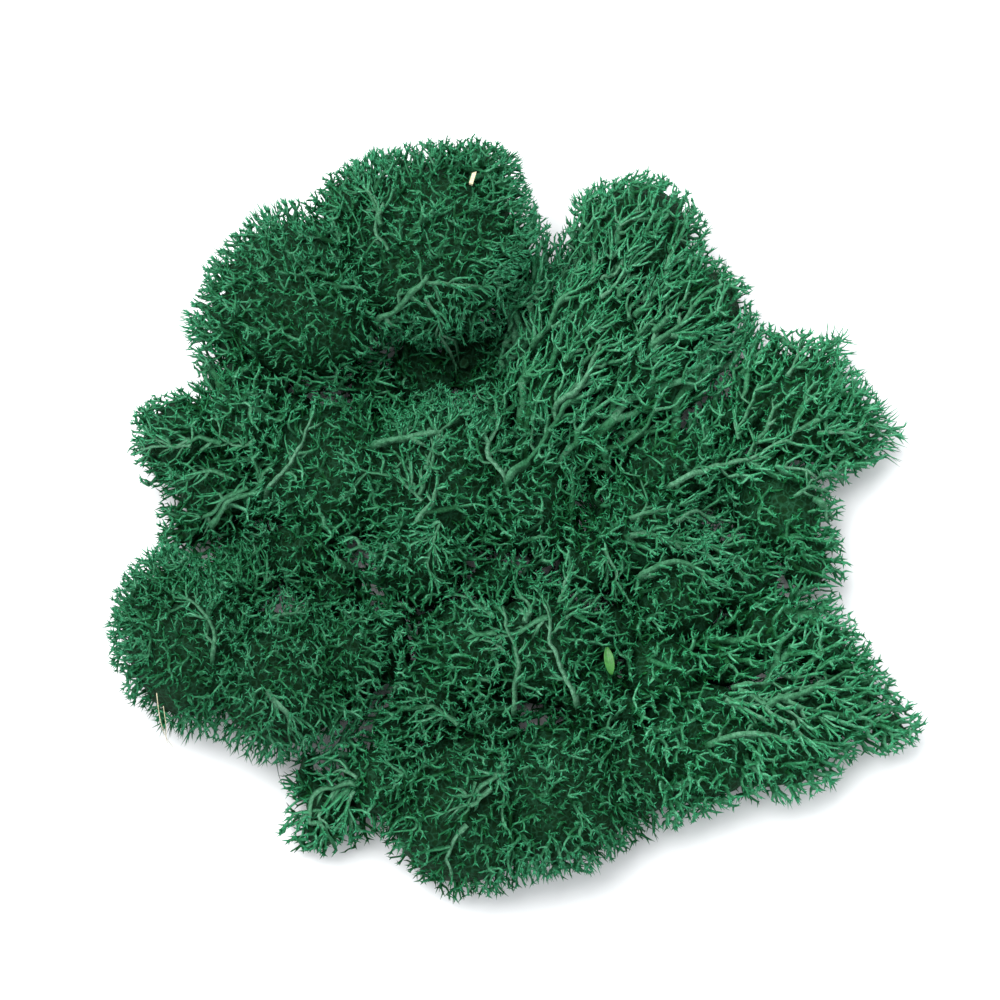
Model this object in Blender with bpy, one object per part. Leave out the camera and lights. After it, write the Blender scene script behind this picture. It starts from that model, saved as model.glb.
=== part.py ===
"""Reindeer moss clump: torn tufts of preserved, dyed reindeer lichen, interlocked in one loose heap.

Lengths are in millimetres, and objects are made in metres. X runs right and Y away from the viewer. The
surface that the heap lies on is z = 0, and the finished heap is moved so that the origin is under its middle.
Each tuft is one lichen body: a small dense core, bare stems that lie along it, and branches that stand
out of it and end in star-shaped forks.
"""

import math
import random
from collections import namedtuple

import bmesh
import bpy
from mathutils import Matrix, Vector, noise
from mathutils.bvhtree import BVHTree

MM = 0.001
SEED = 30
ROUGHNESS = 0.8

# The gap between neighbouring pieces, and the height that free tips keep above the surface.
GAP = 0.3
TIP_CLEARANCE = 0.5

# The core stays this far inside the tuft's outer form, but never under the given share of its reach.
FUZZ_DEPTH = 7.4
LEAST_CORE_SHARE = 0.6
UNDERSIDE_FADE = 1.7
CORE_DETAIL = 2
RIM_STEPS = 8
RELIEF_HEIGHT = 1.0
RELIEF_PITCH = 9.0
KNOT_HEIGHT = 3.4
PIT_DEPTH = 2.8
PIT_SHARE = 0.3
FLAT = 0.01

# Branches: how far apart their tips stand, how deep their roots are sunk, and how their forks spread.
SPRAY_SPACING = 9.45
FORK_SPACING = 6.2
ROOT_DEPTH = 5.5
LEAST_SINK = 1.0
BRANCH_LEANS = (1.0, 0.5, 0.0)
STEM_RADIUS = 1.5
TINE_SPREAD = 3.0
TINE_RISE = 2.4
ARM_SPREAD = 3.4
ARM_RISE = 2.2
ARM_TAPER = 0.85
ARM_TINE_SPREAD = 2.4
ARM_TINE_RISE = 2.0
BRANCH_SHAPES = 6
TIPS_TRIED = 500
LOWEST_TIP_ANGLE = math.radians(-32)
STEM_KEEP_OUT = 2.3

# The outer form is averaged over a narrow cone, so that one lobe runs softly into the next. A lobe that
# starts less than a bridge past the last one counts as touching it.
BLEND_CONE = math.radians(9)
BLEND_RAYS = 4
LOBE_BRIDGE = 1.5
NEAR_LOBES = 45.0

# A lobe is an ellipsoid: its centre, its radius seen from above and its half height.
Lobe = namedtuple("Lobe", "x y z radius rise")
# seed picks a tuft's random draws, heart is the centre of its core, spread is its share of the room between
# it and its neighbours, and source is where its stems spring from.
Tuft = namedtuple("Tuft", "name seed heart spread source colour lobes")
# A bare stem lies along the core through these places, seen from above.
Stem = namedtuple("Stem", "tuft route thickness")

TUFTS = (
    Tuft("crown_tuft", 151, (-24, 46, 19), 24, (-22, 40, 2), (0.028, 0.135, 0.062), (
        Lobe(-16, 50, 20, 20, 18), Lobe(-40, 41, 16, 19, 17), Lobe(-9, 61, 20, 10, 12),
        Lobe(-3, 49, 18, 9.5, 12), Lobe(-50, 37, 13, 11.5, 12), Lobe(-29, 57, 18, 11, 14))),
    Tuft("left_shoulder_tuft", 31, (-58, 11, 10), 14, (-48, 8, 3), (0.026, 0.140, 0.068), (
        Lobe(-63, 15, 10, 11, 12), Lobe(-56, 6, 9, 10.5, 12), Lobe(-51, 18, 11, 11.5, 14),
        Lobe(-61, -1, 6, 5.5, 6))),
    Tuft("upper_right_tuft", 112, (20, 40, 11), 20, (-4, 6, 4), (0.040, 0.165, 0.082), (
        Lobe(23, 53, 11, 13.5, 14), Lobe(34, 41, 10, 12, 13), Lobe(14, 35, 12, 14, 15),
        Lobe(25, 27, 11, 13, 14), Lobe(5, 21, 10, 10, 14))),
    Tuft("right_tuft", 113, (53, 14, 8), 18, (36, 6, 2), (0.042, 0.170, 0.085), (
        Lobe(53, 22, 9, 14, 11), Lobe(62, 16, 8, 8.5, 9), Lobe(47, 29, 8, 8.5, 9),
        Lobe(49, 2, 8, 12, 12), Lobe(54, -8, 7, 8, 9), Lobe(40, 20, 7, 7.5, 9))),
    Tuft("lower_left_cushion", 54, (-50, -27, 12), 21, (-49, -24, 0), (0.026, 0.120, 0.056), (
        Lobe(-59, -25, 12, 16.5, 15), Lobe(-43, -31, 13, 16, 16), Lobe(-31, -27, 12, 11.5, 15),
        Lobe(-65, -17, 10, 10, 12), Lobe(-53, -15, 12, 9, 13))),
    Tuft("bottom_tuft", 35, (-3, -53, 9), 22, (0, -44, 0), (0.030, 0.130, 0.062), (
        Lobe(-9, -55, 9, 17.5, 13), Lobe(8, -52, 10, 16.5, 14), Lobe(22, -48, 9, 12, 12),
        Lobe(-24, -50, 9, 10.5, 12))),
    Tuft("lower_right_tuft", 97, (44, -36, 8), 19, (30, -30, 2), (0.045, 0.180, 0.092), (
        Lobe(34, -42, 8, 15, 12), Lobe(49, -40, 8, 14, 11), Lobe(61, -34, 7, 9.5, 9),
        Lobe(57, -25, 8, 8.5, 9), Lobe(27, -29, 9, 11, 12), Lobe(69, -39, 6, 5.5, 6))),
    Tuft("centre_tuft", 57, (-20, 4, 12), 22, (-18, 2, 1), (0.034, 0.150, 0.075), (
        Lobe(-16, 6, 12, 18, 16), Lobe(-35, 8, 12, 17, 15), Lobe(1, 2, 11, 13, 14),
        Lobe(-40, -7, 10, 10.5, 13), Lobe(-18, -9, 11, 11.5, 15), Lobe(-3, 27, 9, 11, 13))),
    Tuft("bottom_centre_tuft", 78, (1, -25, 11), 17, (0, -27, 1), (0.036, 0.155, 0.078), (
        Lobe(5, -25, 11, 14, 14), Lobe(-9, -25, 10, 13, 14), Lobe(-16, -34, 9, 10.5, 12),
        Lobe(14, -34, 9, 9.5, 12))),
    Tuft("middle_right_tuft", 39, (28, -5, 10), 17, (22, -4, 1), (0.042, 0.170, 0.088), (
        Lobe(30, -15, 10, 12, 13), Lobe(23, -3, 10, 12.5, 14), Lobe(28, 10, 10, 11.5, 12),
        Lobe(42, -11, 8, 10.5, 11), Lobe(14, -9, 10, 9.5, 13))),
    Tuft("curled_tuft", 52, (-34, -54, 5), 8, (-30, -50, 1), (0.038, 0.160, 0.080), (
        Lobe(-34, -54, 5, 7.5, 7), Lobe(-36, -58, 4, 5.5, 6), Lobe(-38, -50, 4, 5, 6))),
)

STEMS = (
    Stem("upper_right_tuft", ((3, 17), (8, 27), (15, 36), (21, 48)), 1.1),
    Stem("upper_right_tuft", ((10, 21), (18, 28), (27, 38), (35, 45)), 1.2),
    Stem("upper_right_tuft", ((15, 20), (25, 26), (35, 35)), 1.0),
    Stem("centre_tuft", ((-26, 11), (-16, 12), (-10, 17)), 1.2),
    Stem("centre_tuft", ((-2, 3), (-5, 10), (-3, 17)), 1.0),
    Stem("centre_tuft", ((-46, 2), (-40, 9), (-38, 17)), 1.1),
    Stem("bottom_centre_tuft", ((-1, -39), (0, -30), (-3, -19)), 1.0),
    Stem("bottom_centre_tuft", ((11, -37), (7, -29), (4, -18)), 1.0),
    Stem("middle_right_tuft", ((23, -14), (30, -11), (37, -15)), 1.2),
    Stem("right_tuft", ((38, 6), (46, 9), (52, 17)), 1.0),
    Stem("lower_right_tuft", ((46, -37), (54, -34), (62, -30)), 1.2),
    Stem("lower_right_tuft", ((35, -44), (42, -42), (50, -44)), 1.0),
    Stem("lower_left_cushion", ((-55, -30), (-56, -23), (-61, -18)), 1.0),
    Stem("left_shoulder_tuft", ((-61, 4), (-56, 10), (-51, 16)), 1.2),
    Stem("crown_tuft", ((-27, 36), (-20, 40), (-11, 41)), 1.1),
    Stem("curled_tuft", ((-30, -51), (-36, -52), (-38, -57), (-34, -60)), 1.0),
)
STEM_SIDES_RESOLUTION = 0
STEM_POINT_SPACING = 3.5
STEM_LIFT = 1.8
STEM_TAPER = 0.55

# A stray branch reaches from the core past the tuft's form: its root and its tip.
Stray = namedtuple("Stray", "tuft root tip")
STRAYS = (
    Stray("right_tuft", (60, 17, 8), (75, 18.5, 6)),
    Stray("right_tuft", (54, 29, 8), (63.5, 38.5, 6)),
    Stray("right_tuft", (55, -4, 7), (60, -15, 5)),
    Stray("lower_right_tuft", (61, -36, 7), (75, -40, 5)),
    Stray("lower_right_tuft", (58, -28, 7), (69.5, -27, 6)),
    Stray("left_shoulder_tuft", (-62, 12, 9), (-73.5, 15, 7)),
    Stray("left_shoulder_tuft", (-59, 4, 7), (-66, -4, 5)),
    Stray("upper_right_tuft", (8, 50, 12), (3, 56, 14)),
    Stray("curled_tuft", (-36, -54, 5), (-42, -60, 4)),
)

# Oddments caught in the heap.
CHIP_SIZE = (2.8, 0.7, 0.6)
CHIP_PLACE = (-8, 59)
CHIP_TURN = math.radians(75)
CHIP_TILT = math.radians(12)
CHIP_COLOUR = (0.62, 0.56, 0.38)
LEAF_SIZE = (5.0, 1.7, 0.6)
LEAF_PLACE = (17, -29)
LEAF_TURN = math.radians(100)
LEAF_TILT = math.radians(-10)
LEAF_SIDES = 10
LEAF_ARCH = 0.5
LEAF_COLOUR = (0.10, 0.36, 0.04)
DROP_STEP = 0.1
DROP_FROM = 60.0


def clear_scene():
    for obj in list(bpy.data.objects):
        bpy.data.objects.remove(obj, do_unlink=True)


def material(name, colour):
    finish = bpy.data.materials.new(name)
    finish.use_nodes = True
    surface = finish.node_tree.nodes["Principled BSDF"]
    surface.inputs["Base Color"].default_value = (*colour, 1.0)
    surface.inputs["Roughness"].default_value = ROUGHNESS
    surface.inputs["Metallic"].default_value = 0.0
    return finish


def lobe_span(lobe, start, direction):
    """(enter, leave) distances of a ray through a lobe, or None where it misses it."""
    shrink = Vector((1 / lobe.radius, 1 / lobe.radius, 1 / lobe.rise))
    offset = (start - Vector((lobe.x, lobe.y, lobe.z))) * shrink
    step = direction * shrink
    squared = step.dot(step)
    along = offset.dot(step)
    inside = along * along - squared * (offset.dot(offset) - 1)
    if inside < 0:
        return None
    root = math.sqrt(inside)
    return (-along - root) / squared, (root - along) / squared


def ray_reach(lobes, start, direction):
    """How far a ray from start runs before it leaves the heap, passing from lobe to lobe."""
    spans = [lobe_span(lobe, start, direction) for lobe in lobes]
    reach = 0.0
    for enter, leave in sorted(span for span in spans if span and span[1] > 0):
        if enter > reach + LOBE_BRIDGE:
            break
        reach = max(reach, leave)
    return reach


def lobes_near(tuft):
    """The lobes that a ray from the tuft's heart can meet before it has left the tuft's cell."""
    heart = Vector(tuft.heart)
    every = [lobe for other in TUFTS for lobe in other.lobes]
    return [lobe for lobe in every
            if (Vector((lobe.x, lobe.y, lobe.z)) - heart).length - lobe.radius < NEAR_LOBES]


def form_reach(lobes, heart, direction):
    """Distance from the heart to the heap's outer form, averaged over a narrow cone."""
    side = direction.orthogonal().normalized()
    total = ray_reach(lobes, heart, direction)
    for k in range(BLEND_RAYS):
        turn = Matrix.Rotation(math.tau * k / BLEND_RAYS, 3, direction)
        ray = (direction + (turn @ side) * math.tan(BLEND_CONE)).normalized()
        total += ray_reach(lobes, heart, ray)
    return total / (BLEND_RAYS + 1)


def cell_walls(tuft):
    """Half spaces (normal, limit) with normal.p <= limit that keep a tuft clear of its neighbours."""
    walls = []
    heart = Vector(tuft.heart)
    for other in TUFTS:
        if other is tuft:
            continue
        between = Vector(other.heart) - heart
        distance = between.length
        share = 0.5 + (tuft.spread ** 2 - other.spread ** 2) / (2 * distance ** 2)
        normal = between / distance
        walls.append((normal, normal.dot(heart) + share * distance - GAP / 2))
    return walls


def floor_below(clearance):
    """The half space above the surface that the heap lies on."""
    return Vector((0, 0, -1)), -clearance


def wall_reach(heart, direction, walls):
    """Distance from the heart to the nearest wall."""
    reach = math.inf
    for normal, limit in walls:
        slope = normal.dot(direction)
        if slope > 0:
            reach = min(reach, (limit - normal.dot(heart)) / slope)
    return reach


def is_inside(points, walls):
    return all(normal.dot(p) <= limit for p in points for normal, limit in walls)


def free_reach(tuft, direction, lobes):
    """Distance from the heart to where the core would end with no neighbours, with its low relief."""
    heart = Vector(tuft.heart)
    form = form_reach(lobes, heart, direction)
    fuzz = FUZZ_DEPTH * min(1.0, max(0.0, 1 + direction.z * UNDERSIDE_FADE))
    core = max(form - fuzz, form * LEAST_CORE_SHARE)
    return core + RELIEF_HEIGHT * noise.noise((heart + direction * core) / RELIEF_PITCH)


def core_reach(tuft, direction, limits, lobes):
    """Distance from the heart to the surface of the core."""
    return min(free_reach(tuft, direction, lobes), wall_reach(Vector(tuft.heart), direction, limits))


def sharpen_rim(bm, walled, tuft, limits, lobes):
    """Gives the core a rim where its free surface meets a wall, by splitting each edge that crosses it."""
    heart = Vector(tuft.heart)
    rim = []
    for edge in [e for e in bm.edges if (e.verts[0] in walled) != (e.verts[1] in walled)]:
        inner, outer = sorted(edge.verts, key=lambda vert: vert in walled)
        near, far = (inner.co - heart).normalized(), (outer.co - heart).normalized()
        for _ in range(RIM_STEPS):
            middle = (near + far).normalized()
            if free_reach(tuft, middle, lobes) < wall_reach(heart, middle, limits):
                near = middle
            else:
                far = middle
        point = bmesh.utils.edge_split(edge, inner, 0.5)[1]
        point.co = heart + far * wall_reach(heart, far, limits)
        rim.append(point)
    bmesh.ops.connect_verts(bm, verts=rim)


def is_cut(face, walls):
    """Whether a face lies flat on the surface below or on a cell wall."""
    middle = face.calc_center_median()
    return middle.z < FLAT or any(limit - normal.dot(middle) < FLAT for normal, limit in walls)


def make_core(tuft, walls, lobes, draw):
    """The dense inner body: a net of ridges between raised knots, with a pit sunk in every mesh of it.

    It is flat where it rests and where it meets a neighbour.
    """
    heart = Vector(tuft.heart)
    limits = walls + [floor_below(0.0)]
    bm = bmesh.new()
    bmesh.ops.create_icosphere(bm, subdivisions=CORE_DETAIL, radius=1.0)
    walled = set()
    for vert in bm.verts:
        direction = vert.co.normalized()
        reach = free_reach(tuft, direction, lobes)
        limit = wall_reach(heart, direction, limits)
        if reach < limit:
            reach = min(reach + KNOT_HEIGHT * draw.random(), limit)
        else:
            reach = limit
            walled.add(vert)
        vert.co = heart + direction * reach
    sharpen_rim(bm, walled, tuft, limits, lobes)
    free = [face for face in bm.faces if not is_cut(face, walls) and draw.random() < PIT_SHARE]
    for pit in bmesh.ops.poke(bm, faces=free)["verts"]:
        offset = pit.co - heart
        pit.co = heart + offset * (1 - PIT_DEPTH * draw.uniform(0.6, 1.2) / offset.length)
    bmesh.ops.dissolve_limit(bm, angle_limit=math.radians(0.5), verts=bm.verts, edges=bm.edges)
    bmesh.ops.triangulate(bm, faces=bm.faces)
    return bm


def to_object(bm, name, collection):
    """Turns a mesh in millimetres into an object in metres."""
    bmesh.ops.scale(bm, vec=(MM, MM, MM), verts=bm.verts)
    mesh = bpy.data.meshes.new(name)
    bm.to_mesh(mesh)
    bm.free()
    obj = bpy.data.objects.new(name, mesh)
    collection.objects.link(obj)
    return obj


def star_on(bm, face, axis, spread, rise, draw):
    """Splits a face into wedges and draws each one out to a pointed tine, round the axis."""
    middle = face.calc_center_median()
    wedges = bmesh.ops.poke(bm, faces=[face])["faces"]
    for tip in bmesh.ops.poke(bm, faces=wedges)["verts"]:
        offset = tip.co - middle
        outward = (offset - axis * offset.dot(axis)).normalized()
        tip.co = middle + outward * spread * draw.uniform(0.8, 1.2)
        tip.co += axis * rise * draw.uniform(0.7, 1.3)


def branch_stem(bm, sides, height, root_radius=0.0):
    """A stem from the origin up +Z to a flat cap, which it returns. It tapers to a point at its root."""
    bmesh.ops.create_cone(
        bm, cap_ends=True, segments=sides, radius1=root_radius, radius2=STEM_RADIUS, depth=height,
        matrix=Matrix.Translation((0, 0, height / 2)))
    bmesh.ops.remove_doubles(bm, verts=bm.verts, dist=0.001)
    return max(bm.faces, key=lambda face: face.calc_center_median().z)


def finished_mesh(bm, name):
    bmesh.ops.recalc_face_normals(bm, faces=bm.faces)
    mesh = bpy.data.meshes.new(name)
    bm.to_mesh(mesh)
    bm.free()
    return mesh


def fork_mesh(draw, root_radius=0.0):
    """A small branch with its root at the origin, running up +Z and ending in one star of tines."""
    bm = bmesh.new()
    height = ROOT_DEPTH + FUZZ_DEPTH - TINE_RISE
    cap = branch_stem(bm, draw.choice((3, 3, 4)), height, root_radius)
    star_on(bm, cap, Vector((0, 0, 1)), TINE_SPREAD, TINE_RISE, draw)
    return finished_mesh(bm, "fork")


def spray_mesh(draw):
    """A branch whose stem parts into arms, each of which ends in a star of tines."""
    arms = draw.choice((3, 3, 4))
    bm = bmesh.new()
    cap = branch_stem(bm, arms, ROOT_DEPTH + FUZZ_DEPTH - ARM_RISE - ARM_TINE_RISE)
    wedges = bmesh.ops.poke(bm, faces=[cap])["faces"]
    for wedge in wedges:
        arm_end = bmesh.ops.extrude_discrete_faces(bm, faces=[wedge])["faces"][0]
        middle = arm_end.calc_center_median()
        outward = Vector((middle.x, middle.y, 0)).normalized()
        climb = Vector((0, 0, ARM_RISE * draw.uniform(0.6, 1.2)))
        arm = outward * ARM_SPREAD * draw.uniform(0.8, 1.15) + climb
        bend = Vector((0, 0, 1)).rotation_difference(arm)
        for vert in arm_end.verts:
            vert.co = middle + arm + bend @ (vert.co - middle) * ARM_TAPER
        star_on(bm, arm_end, arm.normalized(), ARM_TINE_SPREAD * 3 / arms, ARM_TINE_RISE, draw)
    return finished_mesh(bm, "spray")


def golden_directions(count):
    """Directions spread evenly over a sphere, from its top down to the lowest tip angle."""
    lowest = math.sin(LOWEST_TIP_ANGLE)
    golden = math.pi * (3 - math.sqrt(5))
    for k in range(count):
        z = 1 - (1 - lowest) * (k + 0.5) / count
        ring = math.sqrt(max(0.0, 1 - z * z))
        yield Vector((ring * math.cos(golden * k), ring * math.sin(golden * k), z))


def is_rooted(tuft, root, limits, lobes):
    """Whether a root lies well inside the core."""
    offset = root - Vector(tuft.heart)
    return offset.length < core_reach(tuft, offset.normalized(), limits, lobes) - PIT_DEPTH - LEAST_SINK


def branch_axes(tuft, walls, lobes, draw):
    """(tip, axes to try) of branches whose tips stand on the outer form, in a drawn order."""
    heart = Vector(tuft.heart)
    source = Vector(tuft.source)
    limits = walls + [floor_below(0.0)]
    directions = list(golden_directions(TIPS_TRIED))
    draw.shuffle(directions)
    length = ROOT_DEPTH + FUZZ_DEPTH
    places = []
    for direction in directions:
        reach = form_reach(lobes, heart, direction)
        tip = heart + direction * reach
        if reach > wall_reach(heart, direction, walls) or tip.z < TIP_CLEARANCE:
            continue
        growth = (tip - source).normalized()
        axes = [(direction + growth * lean).normalized() for lean in BRANCH_LEANS]
        places.append((tip, [a for a in axes if is_rooted(tuft, tip - a * length, limits, lobes)]))
    return places


def smooth_route(route, spacing):
    """Points read from a Catmull-Rom curve through the route's own points."""
    ends = [2 * Vector(route[0]) - Vector(route[1]), 2 * Vector(route[-1]) - Vector(route[-2])]
    knots = [ends[0]] + [Vector(p) for p in route] + [ends[1]]
    points = []
    for a, b, c, d in zip(knots, knots[1:], knots[2:], knots[3:]):
        steps = max(1, round((c - b).length / spacing))
        for k in range(steps):
            t = k / steps
            points.append(0.5 * (2 * b + (c - a) * t + (2 * a - 5 * b + 4 * c - d) * t ** 2
                                 + (3 * b - a - 3 * c + d) * t ** 3))
    points.append(knots[-2])
    return points


def surface_height(tree, place):
    hit = tree.ray_cast(Vector((place.x, place.y, DROP_FROM)), Vector((0, 0, -1)))[0]
    return hit.z if hit else None


def make_stem(stem, tree, collection):
    """A bare stem as a tapered tube, half sunk in the core along its whole length."""
    places = [(p, surface_height(tree, p)) for p in smooth_route(stem.route, STEM_POINT_SPACING)]
    places = [(p, z) for p, z in places if z is not None]
    curve = bpy.data.curves.new("stem", "CURVE")
    curve.dimensions = "3D"
    curve.bevel_depth = stem.thickness * MM
    curve.bevel_resolution = STEM_SIDES_RESOLUTION
    curve.use_fill_caps = True
    spline = curve.splines.new("POLY")
    spline.points.add(len(places) - 1)
    for k, (place, z) in enumerate(places):
        share = k / (len(places) - 1)
        sunk = 1.0 if 0 < k < len(places) - 1 else -1.0
        spline.points[k].co = (place.x * MM, place.y * MM, (z + sunk * STEM_LIFT) * MM, 1)
        spline.points[k].radius = 1 - (1 - STEM_TAPER) * share
    tube = bpy.data.objects.new("stem", curve)
    collection.objects.link(tube)
    curve_to_mesh(tube, collection)


def curve_to_mesh(tube, collection):
    """Replaces a curve by its mesh, with the end caps welded on."""
    bpy.context.view_layer.update()
    mesh = bpy.data.meshes.new_from_object(tube.evaluated_get(bpy.context.evaluated_depsgraph_get()))
    bm = bmesh.new()
    bm.from_mesh(mesh)
    bmesh.ops.remove_doubles(bm, verts=bm.verts, dist=1e-6)
    bm.to_mesh(mesh)
    bm.free()
    solid = bpy.data.objects.new("stem_solid", mesh)
    solid.matrix_world = tube.matrix_world
    collection.objects.link(solid)
    bpy.data.objects.remove(tube, do_unlink=True)


def join_all(core, branches):
    """Unites the core with everything in the branches collection, and removes that collection's objects."""
    union = core.modifiers.new("branches", "BOOLEAN")
    union.operation = "UNION"
    union.operand_type = "COLLECTION"
    union.collection = branches
    union.solver = "MANIFOLD"
    bpy.context.view_layer.update()
    joined = bpy.data.meshes.new_from_object(core.evaluated_get(bpy.context.evaluated_depsgraph_get()))
    joined.name = core.name
    core.modifiers.remove(union)
    core.data = joined
    for obj in list(branches.objects):
        bpy.data.objects.remove(obj, do_unlink=True)
    bpy.data.collections.remove(branches)


def drop_scraps(mesh):
    """Keeps the largest body of a mesh: loose scraps go, and a hollow that fusing has sealed is filled."""
    bm = bmesh.new()
    bm.from_mesh(mesh)
    left = set(bm.faces)
    bodies = []
    while left:
        body = {left.pop()}
        rim = list(body)
        while rim:
            near = {face for f in rim for edge in f.edges for face in edge.link_faces} - body
            body |= near
            rim = list(near)
        left -= body
        bodies.append(body)
    bodies.sort(key=len)
    for scrap in bodies[:-1]:
        bmesh.ops.delete(bm, geom=list(scrap), context="FACES")
    bm.to_mesh(mesh)
    bm.free()


def standing_at(root, axis, roll, stretch):
    """Where a branch mesh stands: its root, its lean, its turn about itself and its lengthening."""
    turn = axis.to_track_quat("Z", "Y").to_matrix().to_4x4()
    longer = Matrix.Diagonal((1, 1, stretch, 1))
    return Matrix.Translation(root) @ turn @ Matrix.Rotation(roll, 4, "Z") @ longer


def add_branch(mesh, place, branches):
    branch = bpy.data.objects.new(mesh.name, mesh)
    branch.matrix_world = Matrix.Scale(MM, 4) @ place
    branches.objects.link(branch)


def place_strays(tuft, shapes, draw, branches):
    for stray in STRAYS:
        if stray.tuft != tuft.name:
            continue
        root = Vector(stray.root)
        reach = Vector(stray.tip) - root
        stretch = reach.length / (ROOT_DEPTH + FUZZ_DEPTH)
        place = standing_at(root, reach.normalized(), draw.uniform(0, math.tau), stretch)
        add_branch(draw.choice(shapes), place, branches)


def is_crowded(tip, spacing, taken, stem_points):
    """Whether a tip stands too near another branch's tip, or over a bare stem."""
    near_branch = any((tip - other).length < max(gap, spacing) for other, gap in taken)
    return near_branch or any((tip.xy - point).length < STEM_KEEP_OUT for point in stem_points)


def place_branches(places, shapes, spacing, taken, limits, draw, branches, stem_points):
    """Stands a branch at each place that is free, where one of its axes keeps it inside its limits."""
    for tip, axes in places:
        if is_crowded(tip, spacing, taken, stem_points):
            continue
        for axis in axes:
            mesh = draw.choice(shapes)
            root = tip - axis * (ROOT_DEPTH + FUZZ_DEPTH)
            place = standing_at(root, axis, draw.uniform(0, math.tau), 1)
            if is_inside([place @ v.co for v in mesh.vertices if v.co.z > LEAST_SINK], limits):
                add_branch(mesh, place, branches)
                taken.append((tip, spacing))
                break


def make_tuft(tuft, sprays, forks, long_forks, clump):
    """One tuft: its core, stems, stray branches, sprays and forks, fused in one solid."""
    draw = random.Random(tuft.seed)
    walls = cell_walls(tuft)
    lobes = lobes_near(tuft)
    limits = walls + [floor_below(TIP_CLEARANCE)]
    branches = bpy.data.collections.new(tuft.name + "_branches")
    bpy.context.scene.collection.children.link(branches)
    core_bm = make_core(tuft, walls, lobes, draw)
    tree = BVHTree.FromBMesh(core_bm)
    stems = [stem for stem in STEMS if stem.tuft == tuft.name]
    for stem in stems:
        make_stem(stem, tree, branches)
    core = to_object(core_bm, tuft.name, clump)
    stem_points = [p for stem in stems for p in smooth_route(stem.route, STEM_POINT_SPACING / 2)]
    places = branch_axes(tuft, walls, lobes, draw)
    taken = []
    place_strays(tuft, long_forks, draw, branches)
    place_branches(places, sprays, SPRAY_SPACING, taken, limits, draw, branches, stem_points)
    place_branches(places, forks, FORK_SPACING, taken, limits, draw, branches, stem_points)
    join_all(core, branches)
    drop_scraps(core.data)
    core.data.materials.clear()
    core.data.materials.append(material(tuft.name + "_lichen", tuft.colour))
    return core


def chip_solid():
    """A splinter of pale wood, with one end broken at a slant."""
    bm = bmesh.new()
    bmesh.ops.create_cube(bm, size=1.0)
    bmesh.ops.scale(bm, vec=CHIP_SIZE, verts=bm.verts)
    for vert in bm.verts:
        if vert.co.x > 0 and vert.co.y > 0:
            vert.co.x -= CHIP_SIZE[0] * 0.2
    return bm


def leaf_solid():
    """A narrow pointed fragment of a leaf, arched along its rib."""
    length, width, thickness = LEAF_SIZE
    bm = bmesh.new()
    bmesh.ops.create_cone(
        bm, cap_ends=True, segments=LEAF_SIDES, radius1=0.5, radius2=0.5, depth=thickness)
    for vert in bm.verts:
        along = vert.co.x * 2
        vert.co.y *= width * (1 - 0.55 * along * along)
        vert.co.x *= length
        vert.co.z += LEAF_ARCH * (1 - along * along)
    return bm


def settle(bm, name, place, turn, tilt, colour, clump, heap):
    """Lowers an oddment onto the heap until it lies GAP above what it would touch."""
    bmesh.ops.rotate(bm, matrix=Matrix.Rotation(tilt, 3, "Y"), verts=bm.verts)
    bmesh.ops.rotate(bm, matrix=Matrix.Rotation(turn, 3, "Z"), verts=bm.verts)
    bmesh.ops.translate(bm, vec=(*place, DROP_FROM), verts=bm.verts)
    while not BVHTree.FromBMesh(bm).overlap(heap):
        bmesh.ops.translate(bm, vec=(0, 0, -DROP_STEP), verts=bm.verts)
    bmesh.ops.translate(bm, vec=(0, 0, DROP_STEP + GAP), verts=bm.verts)
    oddment = to_object(bm, name, clump)
    oddment.data.materials.append(material(name, colour))


def heap_tree(tufts):
    """The surface of all the tufts, in millimetres."""
    bm = bmesh.new()
    for tuft in tufts:
        bm.from_mesh(tuft.data)
    bmesh.ops.scale(bm, vec=(1 / MM, 1 / MM, 1 / MM), verts=bm.verts)
    return BVHTree.FromBMesh(bm)


def centre_heap(clump):
    """Moves the heap sideways until the origin is under the middle of its box."""
    points = [v.co for obj in clump.objects for v in obj.data.vertices]
    middle = [(min(p[k] for p in points) + max(p[k] for p in points)) / 2 for k in (0, 1)]
    for obj in clump.objects:
        obj.data.transform(Matrix.Translation((-middle[0], -middle[1], 0)))


def main():
    clear_scene()
    clump = bpy.data.collections.new("reindeer_moss_clump")
    bpy.context.scene.collection.children.link(clump)
    draw = random.Random(SEED)
    sprays = [spray_mesh(draw) for _ in range(BRANCH_SHAPES)]
    forks = [fork_mesh(draw) for _ in range(BRANCH_SHAPES)]
    long_forks = [fork_mesh(draw, STEM_RADIUS) for _ in range(BRANCH_SHAPES)]
    tufts = [make_tuft(tuft, sprays, forks, long_forks, clump) for tuft in TUFTS]
    heap = heap_tree(tufts)
    settle(chip_solid(), "wood_chip", CHIP_PLACE, CHIP_TURN, CHIP_TILT, CHIP_COLOUR, clump, heap)
    settle(leaf_solid(), "leaf_fragment", LEAF_PLACE, LEAF_TURN, LEAF_TILT, LEAF_COLOUR, clump, heap)
    centre_heap(clump)


main()
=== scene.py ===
"""Reindeer moss clump: the finish of a heap of torn tufts of preserved, dyed reindeer lichen.

The tufts are grown from their tips inwards. Tips are spread over the heap's outer form, near ones are joined
to a fork below them, near forks to a deeper fork, and so on down to a few trunks, which makes the branches
spread and thicken as the lichen's do. Lengths are in millimetres, and finished meshes are in metres.
X runs right and Y away from the viewer, and the surface that the heap lies on is z = 0.
"""

import math
from collections import namedtuple

import bmesh
import bpy
import numpy as np
from mathutils import Matrix, Vector, kdtree, noise


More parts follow.
